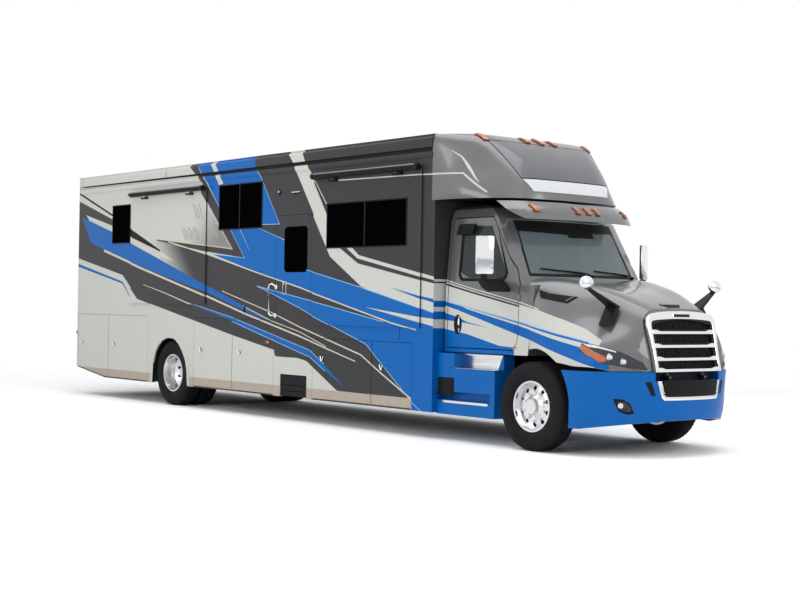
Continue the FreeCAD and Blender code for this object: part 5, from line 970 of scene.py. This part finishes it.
# Bumper: fog lamps and slots, as (y, z)
FOG_BOWL = ((-0.985, 0.668), (-0.905, 0.664), (-0.835, 0.620), (-0.785, 0.505), (-0.845, 0.492),
            (-0.925, 0.522))
FOG_LENS = ((-0.945, 0.640), (-0.870, 0.630), (-0.815, 0.560), (-0.830, 0.520), (-0.915, 0.545))
FOG_LAMP = (-0.915, 0.592)
SLOT = ((-0.690, 0.858), (-0.612, 0.858), (-0.560, 0.706), (-0.612, 0.700))
bumper = Skin("front_bumper")
piece = Piece("fog_lamp")
piece.use("black").patch(bumper, FOG_BOWL, 0, 1.0, out=0.002, depth=0.003, step=0.03)
piece.use("lens").patch(bumper, FOG_LENS, 0, 1.0, out=0.006, depth=0.002, step=0.03)
hit, normal = bumper.at(*FOG_LAMP, 0, 1.0)
piece.use("chrome").rod(hit - normal * 0.004, hit + normal * 0.005, 0.030)
piece.done(mirrored=True)
piece = Piece("bumper_slot").use("black")
piece.patch(bumper, SLOT, 0, 1.0, out=0.002, depth=0.003, step=0.03)
piece.done(mirrored=True)


def all_round(half, middle):
    """Half outline, the point in the middle, and the mirrored half."""
    return [(-y, s) for y, s in half] + [(0.0, middle)] + [(y, s) for y, s in reversed(half)]


# Lower grille: bright surround, mesh and louvres round the bumper's mouth, as (y, z)
GRILLE_TOP, GRILLE_LOW, GRILLE_HALF = 0.866, 0.684, 0.47
MOUTH_OUTER = ((0.545, GRILLE_TOP), (0.520, 0.78), (0.490, 0.676), (0.460, 0.650), (0.25, 0.648))
MOUTH_INNER = ((0.495, GRILLE_TOP), (0.470, 0.78), (0.445, 0.700), (0.425, 0.690), (0.25, 0.688))
MESH_STEPS = 16
steps = [GRILLE_HALF * (2 * n / MESH_STEPS - 1) for n in range(MESH_STEPS + 1)]


def mouth_front(ahead):
    """Function that places a flat point ahead of the bumper's face round the lower mouth."""
    return lambda y, z: Vector((bumper.at(y, 0.64, 0, 1.0)[0].x + 0.004 + ahead, y, z))


def across(places, high, low):
    """Upper and lower edge of a level strip over some places."""
    return [(y, high) for y in places], [(y, low) for y in places]


piece = Piece("lower_grille").use("chrome")
piece.band(all_round(MOUTH_OUTER, 0.647), all_round(MOUTH_INNER, 0.687), mouth_front(0.006), (-0.030, 0, 0),
           0.004)
piece.use("black").band(*across(steps, GRILLE_TOP, GRILLE_LOW), mouth_front(0.0), (-0.006, 0, 0), 0.0)
for z in (0.715, 0.749, 0.783, 0.817, 0.851):
    piece.band(*across(steps, z + 0.010, z - 0.004), mouth_front(0.007), (-0.008, 0, 0), 0.0)
piece.box((6.20, -0.50, 0.64), (6.25, 0.50, 0.955), 0.0)
piece.done()

# Grille: mesh, ribs, chrome bars and surround on the leaning nose, as (y, height up along the nose)
NOSE_X, NOSE_Z = 6.296, 0.955
NOSE_LEAN = math.radians(12.8)
AHEAD = Vector((math.cos(NOSE_LEAN), 0.0, math.sin(NOSE_LEAN)))
UP = Vector((-math.sin(NOSE_LEAN), 0.0, math.cos(NOSE_LEAN)))
GRILLE_BARS = (0.456, 0.297, 0.147, 0.018)
SURROUND = ((0.575, 0.0), (0.572, 0.10), (0.576, 0.25), (0.596, 0.45), (0.604, 0.56), (0.590, 0.63),
            (0.540, 0.672), (0.40, 0.694), (0.20, 0.706))
OPENING = ((0.530, 0.0), (0.528, 0.10), (0.530, 0.25), (0.538, 0.45), (0.542, 0.535), (0.530, 0.575),
           (0.500, 0.592), (0.40, 0.602), (0.20, 0.612))
BAR_HALF = all_round(((0.545, 0.034), (0.47, 0.034), (0.40, 0.016)), 0.016)
BAR_LOW = 0.018
PLATE_TOP = ((-0.155, 0.668), (-0.14, 0.676), (0.14, 0.676), (0.155, 0.668))
PLATE_FOOT = ((-0.155, 0.634), (-0.14, 0.626), (0.14, 0.626), (0.155, 0.634))
RIBS, RIB_STEP, RIB_HALF = 25, 0.0425, 0.004
MESH_WIDEN = 1.14


def nose(ahead, widen=1.0):
    """Function that places a flat point ahead of the leaning nose."""
    return lambda y, s: Vector((NOSE_X, y * widen, NOSE_Z)) + UP * s + AHEAD * ahead


piece = Piece("grille_front", "hood").use("chrome")
piece.band(all_round(SURROUND, 0.710), all_round(OPENING, 0.615), nose(0.062), AHEAD * -0.050, 0.008)
for s in GRILLE_BARS:
    piece.band([(y, s + h) for y, h in BAR_HALF], [(y, s - BAR_LOW) for y, _ in BAR_HALF], nose(0.058),
               AHEAD * -0.040, 0.006)
piece.use("black").band(*across(steps, 0.62, 0.0), nose(0.020, MESH_WIDEN), AHEAD * -0.012, 0.0)
for n in range(RIBS):
    y = RIB_STEP * (n - RIBS // 2)
    piece.band(*across((y - RIB_HALF, y + RIB_HALF), 0.61, 0.0), nose(0.030), AHEAD * -0.014, 0.0)
piece.use("chrome").band(PLATE_TOP, PLATE_FOOT, nose(0.072), AHEAD * -0.012, 0.002)
piece.use("chassis").band(*across((-0.138, 0.138), 0.668, 0.634), nose(0.074), AHEAD * -0.008, 0.001)
piece.done()

# Door mirror heads, turned towards the driver: half thickness and half width, foot and top
MIRROR_AT = (4.410, 1.425)
HEAD_HALF_X, HEAD_HALF_Y = 0.030, 0.112
HEAD_LOW, HEAD_HIGH = 2.055, 2.515
MIRROR_TURN = math.radians(25.0)
HEAD_PARTS = (("chrome", -HEAD_HALF_X, HEAD_HALF_X, 0.0, 0.027),
              ("black", -HEAD_HALF_X - 0.002, -HEAD_HALF_X + 0.010, 0.016, 0.0054))
for side_name, sign in SIDES:
    piece = Piece("door_mirror_head_" + side_name, "cab_door_" + side_name)
    spin = Matrix.Rotation(sign * MIRROR_TURN, 4, "Z")
    spin = Matrix.Translation((MIRROR_AT[0], sign * MIRROR_AT[1], 0.0)) @ spin
    for finish, back, front, shrink, bevel in HEAD_PARTS:
        piece.use(finish).box((back, shrink - HEAD_HALF_Y, HEAD_LOW + shrink),
                              (front, HEAD_HALF_Y - shrink, HEAD_HIGH - shrink), bevel, spin)
    piece.done()

# Visor, its ends cut back to a slant, as (x, z)
(CUT_X, CUT_Z), (CUT_END_X, CUT_END_Z) = (4.239, 2.952), (4.622, 2.723)
bm = mesh_of("sun_visor")
bmesh.ops.bisect_plane(bm, geom=everything(bm), dist=MERGE, clear_inner=True, plane_co=(CUT_X, 0.0, CUT_Z),
                       plane_no=Vector((CUT_Z - CUT_END_Z, 0.0, CUT_END_X - CUT_X)).normalized())
bmesh.ops.holes_fill(bm, edges=[e for e in bm.edges if len(e.link_faces) == 1])
stand_in("sun_visor_trimmed", bm, ["silver"], "sun_visor")

# Dark seals in the joints round the baggage doors, as (rear, front, top), and the entry door
JOINTS = ((-6.325, -5.218, 1.433), (-5.208, -3.855, 1.433), (-2.392, -1.295, 1.433), (-1.285, -0.188, 1.433),
          (0.775, 2.094, 1.208), (2.104, 2.925, 1.208))
JOINT_IN, JOINT_OUT = 0.002, 0.008
SKIRT_LOW, REAR_SKIRT_LOW = 0.345, 0.495
ENTRY_JOINT = (-0.173, 0.703, 0.886, 2.952, 0.006)
for side_name, sign in SIDES:
    piece = Piece("joint_seals_" + side_name).use("black")
    y0, y1 = sorted((sign * (WALL_Y - 0.001), sign * (WALL_Y - 0.006)))
    for rear, front, top in JOINTS:
        low = REAR_SKIRT_LOW if rear < -5.3 else SKIRT_LOW
        for a, b in ((rear - JOINT_OUT, rear - JOINT_IN), (front + JOINT_IN, front + JOINT_OUT)):
            piece.box((a, y0, low), (b, y1, top + JOINT_OUT), 0.0)
        piece.box((rear - JOINT_OUT, y0, top + JOINT_IN), (front + JOINT_OUT, y1, top + JOINT_OUT), 0.0)
    if side_name == "right":
        rear, front, low, top, wide = ENTRY_JOINT
        piece.box((rear, y0, low), (rear + wide, y1, top - 0.002), 0.0)
        piece.box((front - wide, y0, low), (front, y1, top - 0.002), 0.0)
        piece.box((rear, y0, top - wide), (front, y1, top), 0.0)
    piece.done()

# Rubber round the cab door windows, as (x, z)
WINDOW_RUBBER = ((3.585, 2.060), (3.640, 1.985), (4.330, 1.970), (4.445, 2.005), (4.475, 2.080), (4.270, 2.640),
                 (4.215, 2.690), (3.640, 2.700), (3.590, 2.650), (3.585, 2.060))
WINDOW_PANE = ((3.625, 2.080), (3.660, 2.022), (4.320, 2.010), (4.410, 2.035), (4.430, 2.085), (4.238, 2.615),
               (4.195, 2.652), (3.660, 2.662), (3.630, 2.630), (3.625, 2.080))


def on_door(skin, sign):
    """Function that places a flat point just off a cab door."""
    def place(x, z):
        hit, normal = skin.at(x, z, 1, sign)
        return hit + normal * 0.004
    return place


for side_name, sign in SIDES:
    piece = Piece("cab_window_rubber_" + side_name, "cab_door_" + side_name).use("black")
    skin = Skin("cab_door_" + side_name, "cab_door_glass_" + side_name)
    piece.band(WINDOW_RUBBER, WINDOW_PANE, on_door(skin, sign), (0.0, -sign * 0.012, 0.0), 0.0)
    piece.done()


def wall_y(distance):
    """Place on y, a distance off the right wall's face."""
    return -WALL_Y - distance


def on_wall(finish, low, high, end, start, bevel=0.0):
    """Row for a box on the right wall: its corners as (x, z), and how far off the wall it ends and starts."""
    return finish, (low[0], wall_y(end), low[1]), (high[0], wall_y(start), high[1]), bevel


def stud(piece, place, start, end, radius):
    """Short round bar that stands off the right wall at a place (x, z)."""
    x, z = place
    piece.rod((x, wall_y(start), z), (x, wall_y(end), z), radius)


# Latches on the baggage doors, as (x, z): a plate and two bars that lean together
LATCHES = ((-6.180, 0.921), (-4.994, 0.921), (-2.171, 0.921), (-1.079, 0.921), (1.008, 0.911), (2.320, 0.850))
for number, (x, z) in enumerate(LATCHES, 1):
    piece = Piece("baggage_latch_%d" % number, "baggage_door_right_%d" % number)
    piece.use("black").box((x - 0.028, wall_y(0.004), z - 0.010), (x + 0.028, wall_y(-0.002), z + 0.034), 0.002)
    for side in (-1, 1):
        piece.use("chrome").rod((x + side * 0.034, wall_y(0.012), z + 0.036),
                                (x + side * 0.004, wall_y(0.018), z - 0.034), 0.010, 0.007, 12)
    piece.done(mirrored=True, left_body="baggage_door_left_%d" % number)

# Rear wheel arches: wall filled out to a round arch, its flange and the liner's edge, as (x, z)
ARCH_INNER = ((-3.672, 0.340), (-3.650, 0.654), (-3.590, 0.830), (-3.500, 0.945), (-3.37, 1.030),
              (-3.23, 1.075), (-3.108, 1.087), (-2.97, 1.060), (-2.843, 0.985), (-2.73, 0.870),
              (-2.640, 0.740), (-2.590, 0.585), (-2.566, 0.340))
ARCH_OUTER = ((-3.742, 0.340), (-3.722, 0.670), (-3.655, 0.870), (-3.550, 1.000), (-3.40, 1.095),
              (-3.24, 1.145), (-3.104, 1.160), (-2.94, 1.130), (-2.795, 1.045), (-2.67, 0.915),
              (-2.570, 0.765), (-2.520, 0.600), (-2.496, 0.340))
ARCH_CORNERS = ((-3.70, 0.60), (-3.70, 0.80), (-3.70, 0.95), (-3.70, 1.07), (-3.55, 1.10), (-3.30, 1.11),
                (-3.10, 1.11), (-2.90, 1.11), (-2.70, 1.10), (-2.54, 1.07), (-2.54, 0.95), (-2.54, 0.80),
                (-2.54, 0.60))
LINER_EDGE = [(x * 0.999 - 0.003, z + 0.004) for x, z in ARCH_INNER]
piece = Piece("rear_arch_trim").use("white")
piece.band(ARCH_CORNERS, ARCH_INNER, lambda x, z: Vector((x, wall_y(0.001), z)), (0, 0.016, 0), 0.0)
piece.band(ARCH_OUTER, ARCH_INNER, lambda x, z: Vector((x, wall_y(0.011), z)), (0, 0.014, 0), 0.004)
piece.done(mirrored=True)
piece = Piece("rear_arch_liner").use("chassis")
piece.band([(x, z + 0.012) for x, z in LINER_EDGE], LINER_EDGE, lambda x, z: Vector((x, wall_y(0.004), z)),
           (0, 0.05, 0), 0.0)
piece.done(mirrored=True)

# Entry door handle and lock; boxes as finish, corners as (x, z), end, start and bevel
DOOR_HANDLE = (("chrome", (0.024, 1.798), (0.117, 1.978), 0.010, 0.0, 0.004),
               ("graphite", (0.036, 1.810), (0.105, 1.966), 0.012, 0.004, 0.003))
DOOR_LOCK = (0.070, 1.945)
piece = Piece("entry_door_handle", "entry_door")
piece.boxes(on_wall(*row) for row in DOOR_HANDLE)
stud(piece.use("chrome"), DOOR_LOCK, 0.012, 0.020, 0.012)
piece.done()

# Grab rail beside the entry door, as (x, distance off the wall, z), and its feet, as (x, z)
GRAB_RAIL = ((-0.150, 0.0, 1.490), (-0.225, 0.045, 1.492), (-0.252, 0.055, 1.530), (-0.262, 0.055, 1.880),
             (-0.240, 0.055, 1.935), (-0.190, 0.050, 1.945), (-0.145, 0.020, 1.915), (-0.140, 0.0, 1.900))
RAIL_FEET = ((-0.145, 1.900), (-0.155, 1.488))
RAIL_RADIUS, FOOT_RADIUS = 0.012, 0.034
piece = Piece("entry_grab_rail").use("chrome")
piece.tube([(x, wall_y(stand), z) for x, stand, z in GRAB_RAIL], RAIL_RADIUS)
for foot in RAIL_FEET:
    stud(piece, foot, -0.001, 0.008, FOOT_RADIUS)
piece.done()

# Porch lights: a round one and a long one
ROUND_LIGHT, ROUND_BULB = (-0.100, 3.262), (-0.100, 3.270)
LONG_LIGHT = (("chrome", (0.223, 3.240), (0.428, 3.254), 0.020, 0.0, 0.004),
              ("black", (0.235, 3.226), (0.416, 3.240), 0.016, 0.0, 0.003))
piece = Piece("porch_lights")
stud(piece.use("black"), ROUND_LIGHT, -0.001, 0.012, 0.036)
stud(piece.use("chrome"), ROUND_BULB, 0.010, 0.020, 0.016)
piece.boxes(on_wall(*row) for row in LONG_LIGHT)
piece.done()

# Small marks on the walls: name, body, body on the left if there is a twin, and boxes
MARKS = (
    ("wall_hook", "coach", None, (("black", (-0.985, 1.520), (-0.950, 1.612), 0.012, -0.001, 0.004),)),
    ("side_marker_lamp", "baggage_door_right_4", "baggage_door_left_4",
     (("black", (-0.385, 1.072), (-0.275, 1.128), 0.004, -0.001, 0.006),
      ("amber", (-0.375, 1.080), (-0.285, 1.120), 0.014, 0.002, 0.006))),
    ("rear_marker", "coach", "coach",
     (("black", (-6.412, 1.060), (-6.372, 1.112), 0.005, -0.001, 0.003),
      ("red", (-6.406, 1.068), (-6.378, 1.104), 0.009, 0.003, 0.003))),
)
for name, body, left_body, rows in MARKS:
    piece = Piece(name, body)
    piece.boxes(on_wall(*row) for row in rows)
    piece.done(mirrored=left_body is not None, left_body=left_body)


def parts_of(node):
    """Corners of the box round each separate part of a node."""
    bm = bmesh.new()
    bm.from_mesh(NODES[node].data)
    bmesh.ops.remove_doubles(bm, verts=bm.verts, dist=MERGE)
    left, found = set(bm.verts), []
    while left:
        group, stack = [], [left.pop()]
        while stack:
            v = stack.pop()
            group.append(v.co.copy())
            near = {e.other_vert(v) for e in v.link_edges} & left
            left -= near
            stack += near
        found.append(tuple(zip(*(extent(group, i) for i in range(3)))))
    bm.free()
    return sorted(found)


# Windows: rubber rims round every pane, and the sliding panes' dividers
RIM = 0.016
MIN_SLIDER = 1.0
DIVIDER_SHIFT, DIVIDER_HALF = -0.015, 0.012
for node, body in (("wall_windows", "coach"), ("slide_window", "slide_room_front")):
    for number, ((x0, y_low, z0), (x1, y_high, z1)) in enumerate(parts_of(node), 1):
        sign = math.copysign(1.0, y_low)
        face = max(abs(y_low), abs(y_high))
        y0, y1 = sorted((sign * (face - 0.004), sign * (face + 0.003)))
        piece = Piece("%s_trim_%d" % (node, number), body).use("black")
        for a, b, c, d in ((x0, x1, z0, z0 + RIM), (x0, x1, z1 - RIM, z1), (x0, x0 + RIM, z0, z1),
                           (x1 - RIM, x1, z0, z1)):
            piece.box((a, y0, c), (b, y1, d), 0.002)
        if x1 - x0 > MIN_SLIDER:
            middle = (x0 + x1) / 2 + DIVIDER_SHIFT
            piece.use("chassis").box((middle - DIVIDER_HALF, y0, z0), (middle + DIVIDER_HALF, y1, z1), 0.002)
        piece.done()

# Short panel joint between the last luggage door and the cab
SHORT_JOINT = ("black", (2.664, 1.224), (2.672, 1.402), 0.002, -0.001)
piece = Piece("wall_joint_short")
piece.boxes([on_wall(*SHORT_JOINT)])
piece.done()


def on_rear(finish, low, high, end, start=-0.002, bevel=0.0):
    """Row for a box on the rear wall: its corners as (y, z), and how far off the wall it ends and starts."""
    return finish, (REAR_X - end, *low), (REAR_X - start, *high), bevel


def rear_lamp(y, finish, half, foot, top, *rest):
    """Row for a box of a lamp at a place on y on the rear wall, from its half width, foot and top."""
    return on_rear(finish, (y - half, foot), (y + half, top), *rest)


# Rear wall: lamps, as finish, half width, foot, top, end, start and bevel, and clearance lamps
LAMP_Y, CLEARANCE_Y = 1.120, (-1.130, -0.150, 0.0, 0.150, 1.130)
TAIL_LAMP = (("black", 0.075, 0.640, 1.130, 0.004, -0.002, 0.002),
             ("red", 0.060, 0.900, 1.115, 0.0079, 0.003, 0.002),
             ("amber", 0.060, 0.780, 0.892, 0.0079, 0.003, 0.002),
             ("light_strip", 0.060, 0.655, 0.772, 0.0079, 0.003, 0.002))
CLEARANCE_LAMP = ("red", 0.045, 3.640, 3.672, 0.0075, -0.002, 0.003)
piece = Piece("rear_lamps")
for y in (-LAMP_Y, LAMP_Y):
    piece.boxes(rear_lamp(y, *row) for row in TAIL_LAMP)
piece.boxes(rear_lamp(y, *CLEARANCE_LAMP) for y in CLEARANCE_Y)
piece.done()

# Blank plate with a bright bar over it, panel joints and camera on the rear wall, as (y, z)
REAR_PLATE = (("black", (-0.175, 0.700), (0.175, 0.880), 0.003, -0.002, 0.002),
              ("white", (-0.155, 0.715), (0.155, 0.865), 0.005, 0.001, 0.001),
              ("chrome", (-0.050, 0.885), (0.050, 0.900), 0.007, -0.002, 0.002))
REAR_JOINTS = (((-1.200, 0.596), (1.200, 0.602)), ((-1.200, 3.480), (1.200, 3.486)),
               ((-0.640, 1.250), (-0.634, 2.350)), ((0.634, 1.250), (0.640, 2.350)),
               ((-0.640, 1.250), (0.640, 1.256)), ((-0.640, 2.344), (0.640, 2.350)))
REAR_CAMERA = (("chassis", (-0.060, 3.540), (0.060, 3.600), 0.007, -0.002, 0.004),
               ("dark_glass", (-0.018, 3.556), (0.018, 3.586), 0.0079, 0.006))
piece = Piece("rear_plate_and_joints")
piece.boxes(on_rear(*row) for row in REAR_PLATE)
piece.boxes(on_rear("black", low, high, 0.001) for low, high in REAR_JOINTS)
piece.boxes(on_rear(*row) for row in REAR_CAMERA)
piece.done()

# Roof units: side louvres
LOUVRE_INSET, LOUVRE_TALL = 0.16, 0.010
for number, ((x0, y0, z0), (x1, y1, z1)) in enumerate(parts_of("roof_units"), 1):
    piece = Piece("roof_unit_louvres_%d" % number).use("chassis")
    for share in (0.30, 0.46, 0.62):
        z = z0 + (z1 - z0) * share
        for a, b in ((y0 - 0.002, y0 + 0.006), (y1 - 0.006, y1 + 0.002)):
            piece.box((x0 + LOUVRE_INSET, a, z), (x1 - LOUVRE_INSET, b, z + LOUVRE_TALL), 0.0)
    piece.done()

# Moulding under the awning as (distance out, z), painted with the side's stripes
MOULDING = ((-0.002, 3.530), (0.006, 3.534), (0.012, 3.552), (0.013, 3.585), (0.009, 3.606), (-0.002, 3.612))
MOULDING_ENDS = (-6.340, 3.270)
bm = bmesh.new()
sleeve(bm, [corners(bm, ((x, wall_y(stand), z) for stand, z in MOULDING)) for x in MOULDING_ENDS])
bmesh.ops.recalc_face_normals(bm, faces=bm.faces)
bm.normal_update()
for _, ring in house_zones:
    if extent(ring, 1)[1] > 3.5:
        cut_along(bm, ring, 1, -1.0)
names = ["white"] + sorted({name for name, _ in house_zones})
for f in bm.faces:
    f.material_index = names.index(finish_at(sample(f, 1), house_zones, "white"))
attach(add_object("upper_moulding", bm, names), "coach")

# Slide toppers: rolled fabric, end caps and brackets
TOPPERS = (("front", 0.790, 3.075), ("rear", -4.410, -2.080))
TOPPER_Y, TOPPER_Z = -SLIDE_Y - 0.052, 3.432
for room, rear, front in TOPPERS:
    piece = Piece("topper_roll_" + room, "slide_room_" + room)
    for finish, inset, lift, radius in (("black", 0.02, 0.0, 0.039), ("fabric", 0.05, 0.004, 0.037)):
        piece.use(finish).rod((rear + inset, TOPPER_Y, TOPPER_Z + lift),
                              (front - inset, TOPPER_Y, TOPPER_Z + lift), radius, segments=32)
    piece.use("black")
    for x in (rear, front - 0.022):
        piece.rod((x, TOPPER_Y, TOPPER_Z), (x + 0.022, TOPPER_Y, TOPPER_Z), 0.040, segments=32, bevel=0.004)
    for x in (rear + 0.45, front - 0.45):
        piece.box((x - 0.09, -SLIDE_Y - 0.045, 3.345), (x + 0.09, -SLIDE_Y + 0.001, 3.378), 0.004)
    piece.done()

# Hatching in the grey triangle, slanted strokes: body, face, first stroke's (x, z) and length, count and step
HATCH = (("slide_room_rear", SLIDE_Y, -2.74, 2.74, 0.20, 9, 0.055),
         ("slide_room_rear", SLIDE_Y, -2.42, 3.08, 0.24, 4, 0.060),
         ("coach", WALL_Y, -2.020, 2.73, 0.14, 6, 0.052))
STROKE_LEAN, STROKE_WIDE = 0.45, 0.010
for number, (body, face, x, z, length, count, step) in enumerate(HATCH, 1):
    piece = Piece("hatching_%d" % number, body)
    for n in range(count):
        half = length / 2 * (1.0 - 0.25 * (n % 3 == 2))
        lean = half * STROKE_LEAN
        middle = z - 0.012 * (n % 3)
        for finish, start in (("cream", x + n * step), ("silver", x + n * step + 0.016)):
            ring = [(start - lean, middle + half), (start - lean + STROKE_WIDE, middle + half),
                    (start + lean + STROKE_WIDE, middle - half), (start + lean, middle - half)]
            piece.use(finish).prism(ring, 1, -face - 0.0012, -face + 0.001, 0.0)
    piece.done()

# Cab steps and fairing: polished plates, ribs, bright strip, vent and its bars; outlines as (x, z)
# Ribs are given by the first one's place, the shift to the next one and their size
STEP_PLATE = ((3.56, 0.910), (4.290, 0.910), (4.372, 1.083), (3.600, 1.083))
STEP_RIB_AT, STEP_RIB_SHIFT, STEP_RIB_SIZE = (3.74, 0.945), (0.02, 0.035), (0.52, 0.008)
STEP_RIBS = 4
VENT_BARS = (0.605, 0.668, 0.730)
piece = Piece("cab_step_trim").use("alloy")
piece.prism(STEP_PLATE, 1, -1.058, -1.050, 0.002)
piece.box((3.56, -1.200, 0.900), (4.370, -1.052, 0.908), 0.002)
for n in range(STEP_RIBS):
    x, z = STEP_RIB_AT[0] + STEP_RIB_SHIFT[0] * n, STEP_RIB_AT[1] + STEP_RIB_SHIFT[1] * n
    piece.box((x, -1.064, z), (x + STEP_RIB_SIZE[0], -1.057, z + STEP_RIB_SIZE[1]), 0.002)
piece.boxes([("alloy", (3.36, -1.208, 0.468), (4.270, -1.196, 0.499), 0.003),
             ("black", (3.352, -1.210, 0.562), (3.650, -1.198, 0.782), 0.012)])
piece.boxes([("chassis", (3.375, -1.218, z), (3.627, -1.206, z + 0.022), 0.004) for z in VENT_BARS])
piece.done(mirrored=True)

# Cab doors: handle, wind deflector and side reflector
HANDLE_X, HANDLE_Z, HANDLE_HALF_X, HANDLE_HALF_Z = 3.610, 1.443, 0.070, 0.122
HANDLE_POINTS = 28
HANDLE_BAR = ((3.640, 1.121, 1.350), (3.648, 1.136, 1.385), (3.650, 1.138, 1.445), (3.648, 1.136, 1.505),
              (3.640, 1.121, 1.540))
DEFLECTOR = ((3.540, 2.560), (3.600, 2.690), (3.900, 2.690), (3.830, 2.565))
for side_name, sign in SIDES:
    piece = Piece("cab_door_handle_" + side_name, "cab_door_" + side_name)
    oval = [(HANDLE_X + HANDLE_HALF_X * math.cos(t), HANDLE_Z + HANDLE_HALF_Z * math.sin(t))
            for t in (math.tau * k / HANDLE_POINTS for k in range(HANDLE_POINTS))]
    piece.use("black").prism(oval, 1, sign * 1.106, sign * 1.122, 0.003)
    piece.use("chrome").tube([(x, sign * y, z) for x, y, z in HANDLE_BAR], 0.011)
    piece.use("black").prism(DEFLECTOR, 1, sign * 1.085, sign * 1.108, 0.003)
    y0, y1 = sorted((sign * 1.112, sign * 1.124))
    piece.use("amber").box((4.600, y0, 1.175), (4.650, y1, 1.200), 0.003)
    piece.done()

# Dark bands at the top of the windshield, partly the cab's dark header inside and partly painted shade under
# the outer visor: each one's ends and its lower edge's heights there
SHADED_TOP_BANDS = ((-0.86, -0.12, 2.600, 2.575), (-0.12, 0.36, 2.540, 2.545), (0.36, 0.86, 2.610, 2.630))
piece = Piece("windshield_shade").use("black")
for y0, y1, z0, z1 in SHADED_TOP_BANDS:
    ring = ((y0, HIGH_Z), (y0, z0), (y1, z1), (y1, HIGH_Z))
    piece.patch(glass, ring, 0, 1.0, out=0.002, depth=0.002, step=0.10)
piece.done()


# Stage: floor, camera, light and background
FLOOR_NEAR, FLOOR_FAR = 7.5, 15.0
FLOOR_LIFT = 1.25
FLOOR_SIZE = 90.0


def floor_material():
    """Pale floor that keeps the shadow near the vehicle and goes over into the white background."""
    m = material("pale_floor", (0.95, 0.95, 0.95), rough=0.9, grain=0.005, scale=0.5, specular=0.0)
    tree = m.node_tree
    seen = add_node(tree, "LightPath").outputs["Is Camera Ray"]
    away = add_node(tree, "VectorMath", {0: node_of(tree, "TEX_COORD").outputs["Object"]}, operation="LENGTH")
    share = add_node(tree, "MapRange", {"Value": away.outputs["Value"], "From Min": FLOOR_NEAR,
                                        "From Max": FLOOR_FAR}, interpolation_type="SMOOTHSTEP")
    fade = add_node(tree, "Math", {0: share.outputs["Result"], 1: seen}, operation="MULTIPLY")
    lift = add_node(tree, "BsdfDiffuse", {"Color": (FLOOR_LIFT, FLOOR_LIFT, FLOOR_LIFT, 1.0)})
    white = add_node(tree, "Emission")
    near = add_node(tree, "MixShader", {0: seen, 1: tree.nodes["Principled BSDF"].outputs["BSDF"],
                                        2: lift.outputs["BSDF"]})
    mixed = add_node(tree, "MixShader", {0: fade.outputs["Value"], 1: near.outputs["Shader"],
                                         2: white.outputs["Emission"]})
    tree.links.new(mixed.outputs["Shader"], node_of(tree, "OUTPUT_MATERIAL").inputs["Surface"])
    return m


def camera_matrix():
    """Place and turn of the camera."""
    heading, pitch, roll = (math.radians(a) for a in CAMERA_TURN)
    right = Vector((math.cos(heading), math.sin(heading), 0.0))
    back = Vector((math.sin(heading) * math.cos(pitch), -math.cos(heading) * math.cos(pitch), math.sin(pitch)))
    up = back.cross(right)
    turned_right = math.cos(roll) * right + math.sin(roll) * up
    turned_up = -math.sin(roll) * right + math.cos(roll) * up
    turn = Matrix((turned_right, turned_up, back)).transposed().to_4x4()
    return Matrix.Translation(CAMERA_AT) @ turn


def studio_world():
    """White background for the camera, glass and polished parts, and a soft grey sky for everything else."""
    world = bpy.data.worlds.new("studio")
    world.use_nodes = True
    tree = world.node_tree
    rays = add_node(tree, "LightPath").outputs
    split = add_node(tree, "SeparateXYZ", {"Vector": add_node(tree, "TexCoord").outputs["Generated"]})
    height = add_node(tree, "MapRange", {"Value": split.outputs["Z"], "From Min": -1.0, "From Max": 1.0})
    sky = add_node(tree, "ValToRGB", {"Fac": height.outputs["Result"]})
    low, high = sky.color_ramp.elements
    low.position, high.position = 0.35, 0.95
    low.color, high.color = (0.27, 0.28, 0.29, 1.0), (0.64, 0.65, 0.66, 1.0)
    direct = add_node(tree, "Math", {0: rays["Is Camera Ray"], 1: rays["Is Transmission Ray"]},
                      operation="MAXIMUM")
    shiny = add_node(tree, "Math", {0: direct.outputs["Value"], 1: rays["Is Glossy Ray"]}, operation="MAXIMUM")
    colour = mixed_colour(tree, shiny.outputs["Value"], sky.outputs["Color"], (1.0, 1.0, 1.0))
    background = tree.nodes["Background"]
    background.inputs["Strength"].default_value = 1.0
    tree.links.new(colour, background.inputs["Color"])
    return world


def area_light(name, at, towards, size, power):
    """Soft rectangular lamp aimed at a point."""
    lamp = bpy.data.lights.new(name, "AREA")
    lamp.shape = "RECTANGLE"
    lamp.size, lamp.size_y = size
    lamp.energy = power
    obj = bpy.data.objects.new(name, lamp)
    obj.location = at
    obj.rotation_euler = (Vector(towards) - Vector(at)).to_track_quat("-Z", "Y").to_euler()
    scene.collection.objects.link(obj)


scene = bpy.context.scene
camera = bpy.data.cameras.new("camera")
camera.sensor_width = 36.0
camera.lens = CAMERA_FOCAL / PICTURE_WIDTH * camera.sensor_width
camera.clip_end = 200.0
camera_object = bpy.data.objects.new("camera", camera)
camera_object.matrix_world = camera_matrix()
scene.collection.objects.link(camera_object)
scene.camera = camera_object
scene.view_settings.view_transform = "Standard"
scene.world = studio_world()
area_light("top_light", (2.0, -2.0, 13.0), (0.5, 0.0, 0.0), (16.0, 10.0), 1000.0)
area_light("side_light", (3.0, -16.0, 6.0), (0.0, -1.0, 1.8), (16.0, 6.0), 730.0)
area_light("front_light", (16.0, 3.0, 7.0), (5.0, 0.0, 1.8), (8.0, 6.0), 470.0)

M["floor"] = floor_material()
bm = bmesh.new()
bmesh.ops.create_grid(bm, x_segments=1, y_segments=1, size=FLOOR_SIZE)
floor = add_object("floor", bm, ["floor"])
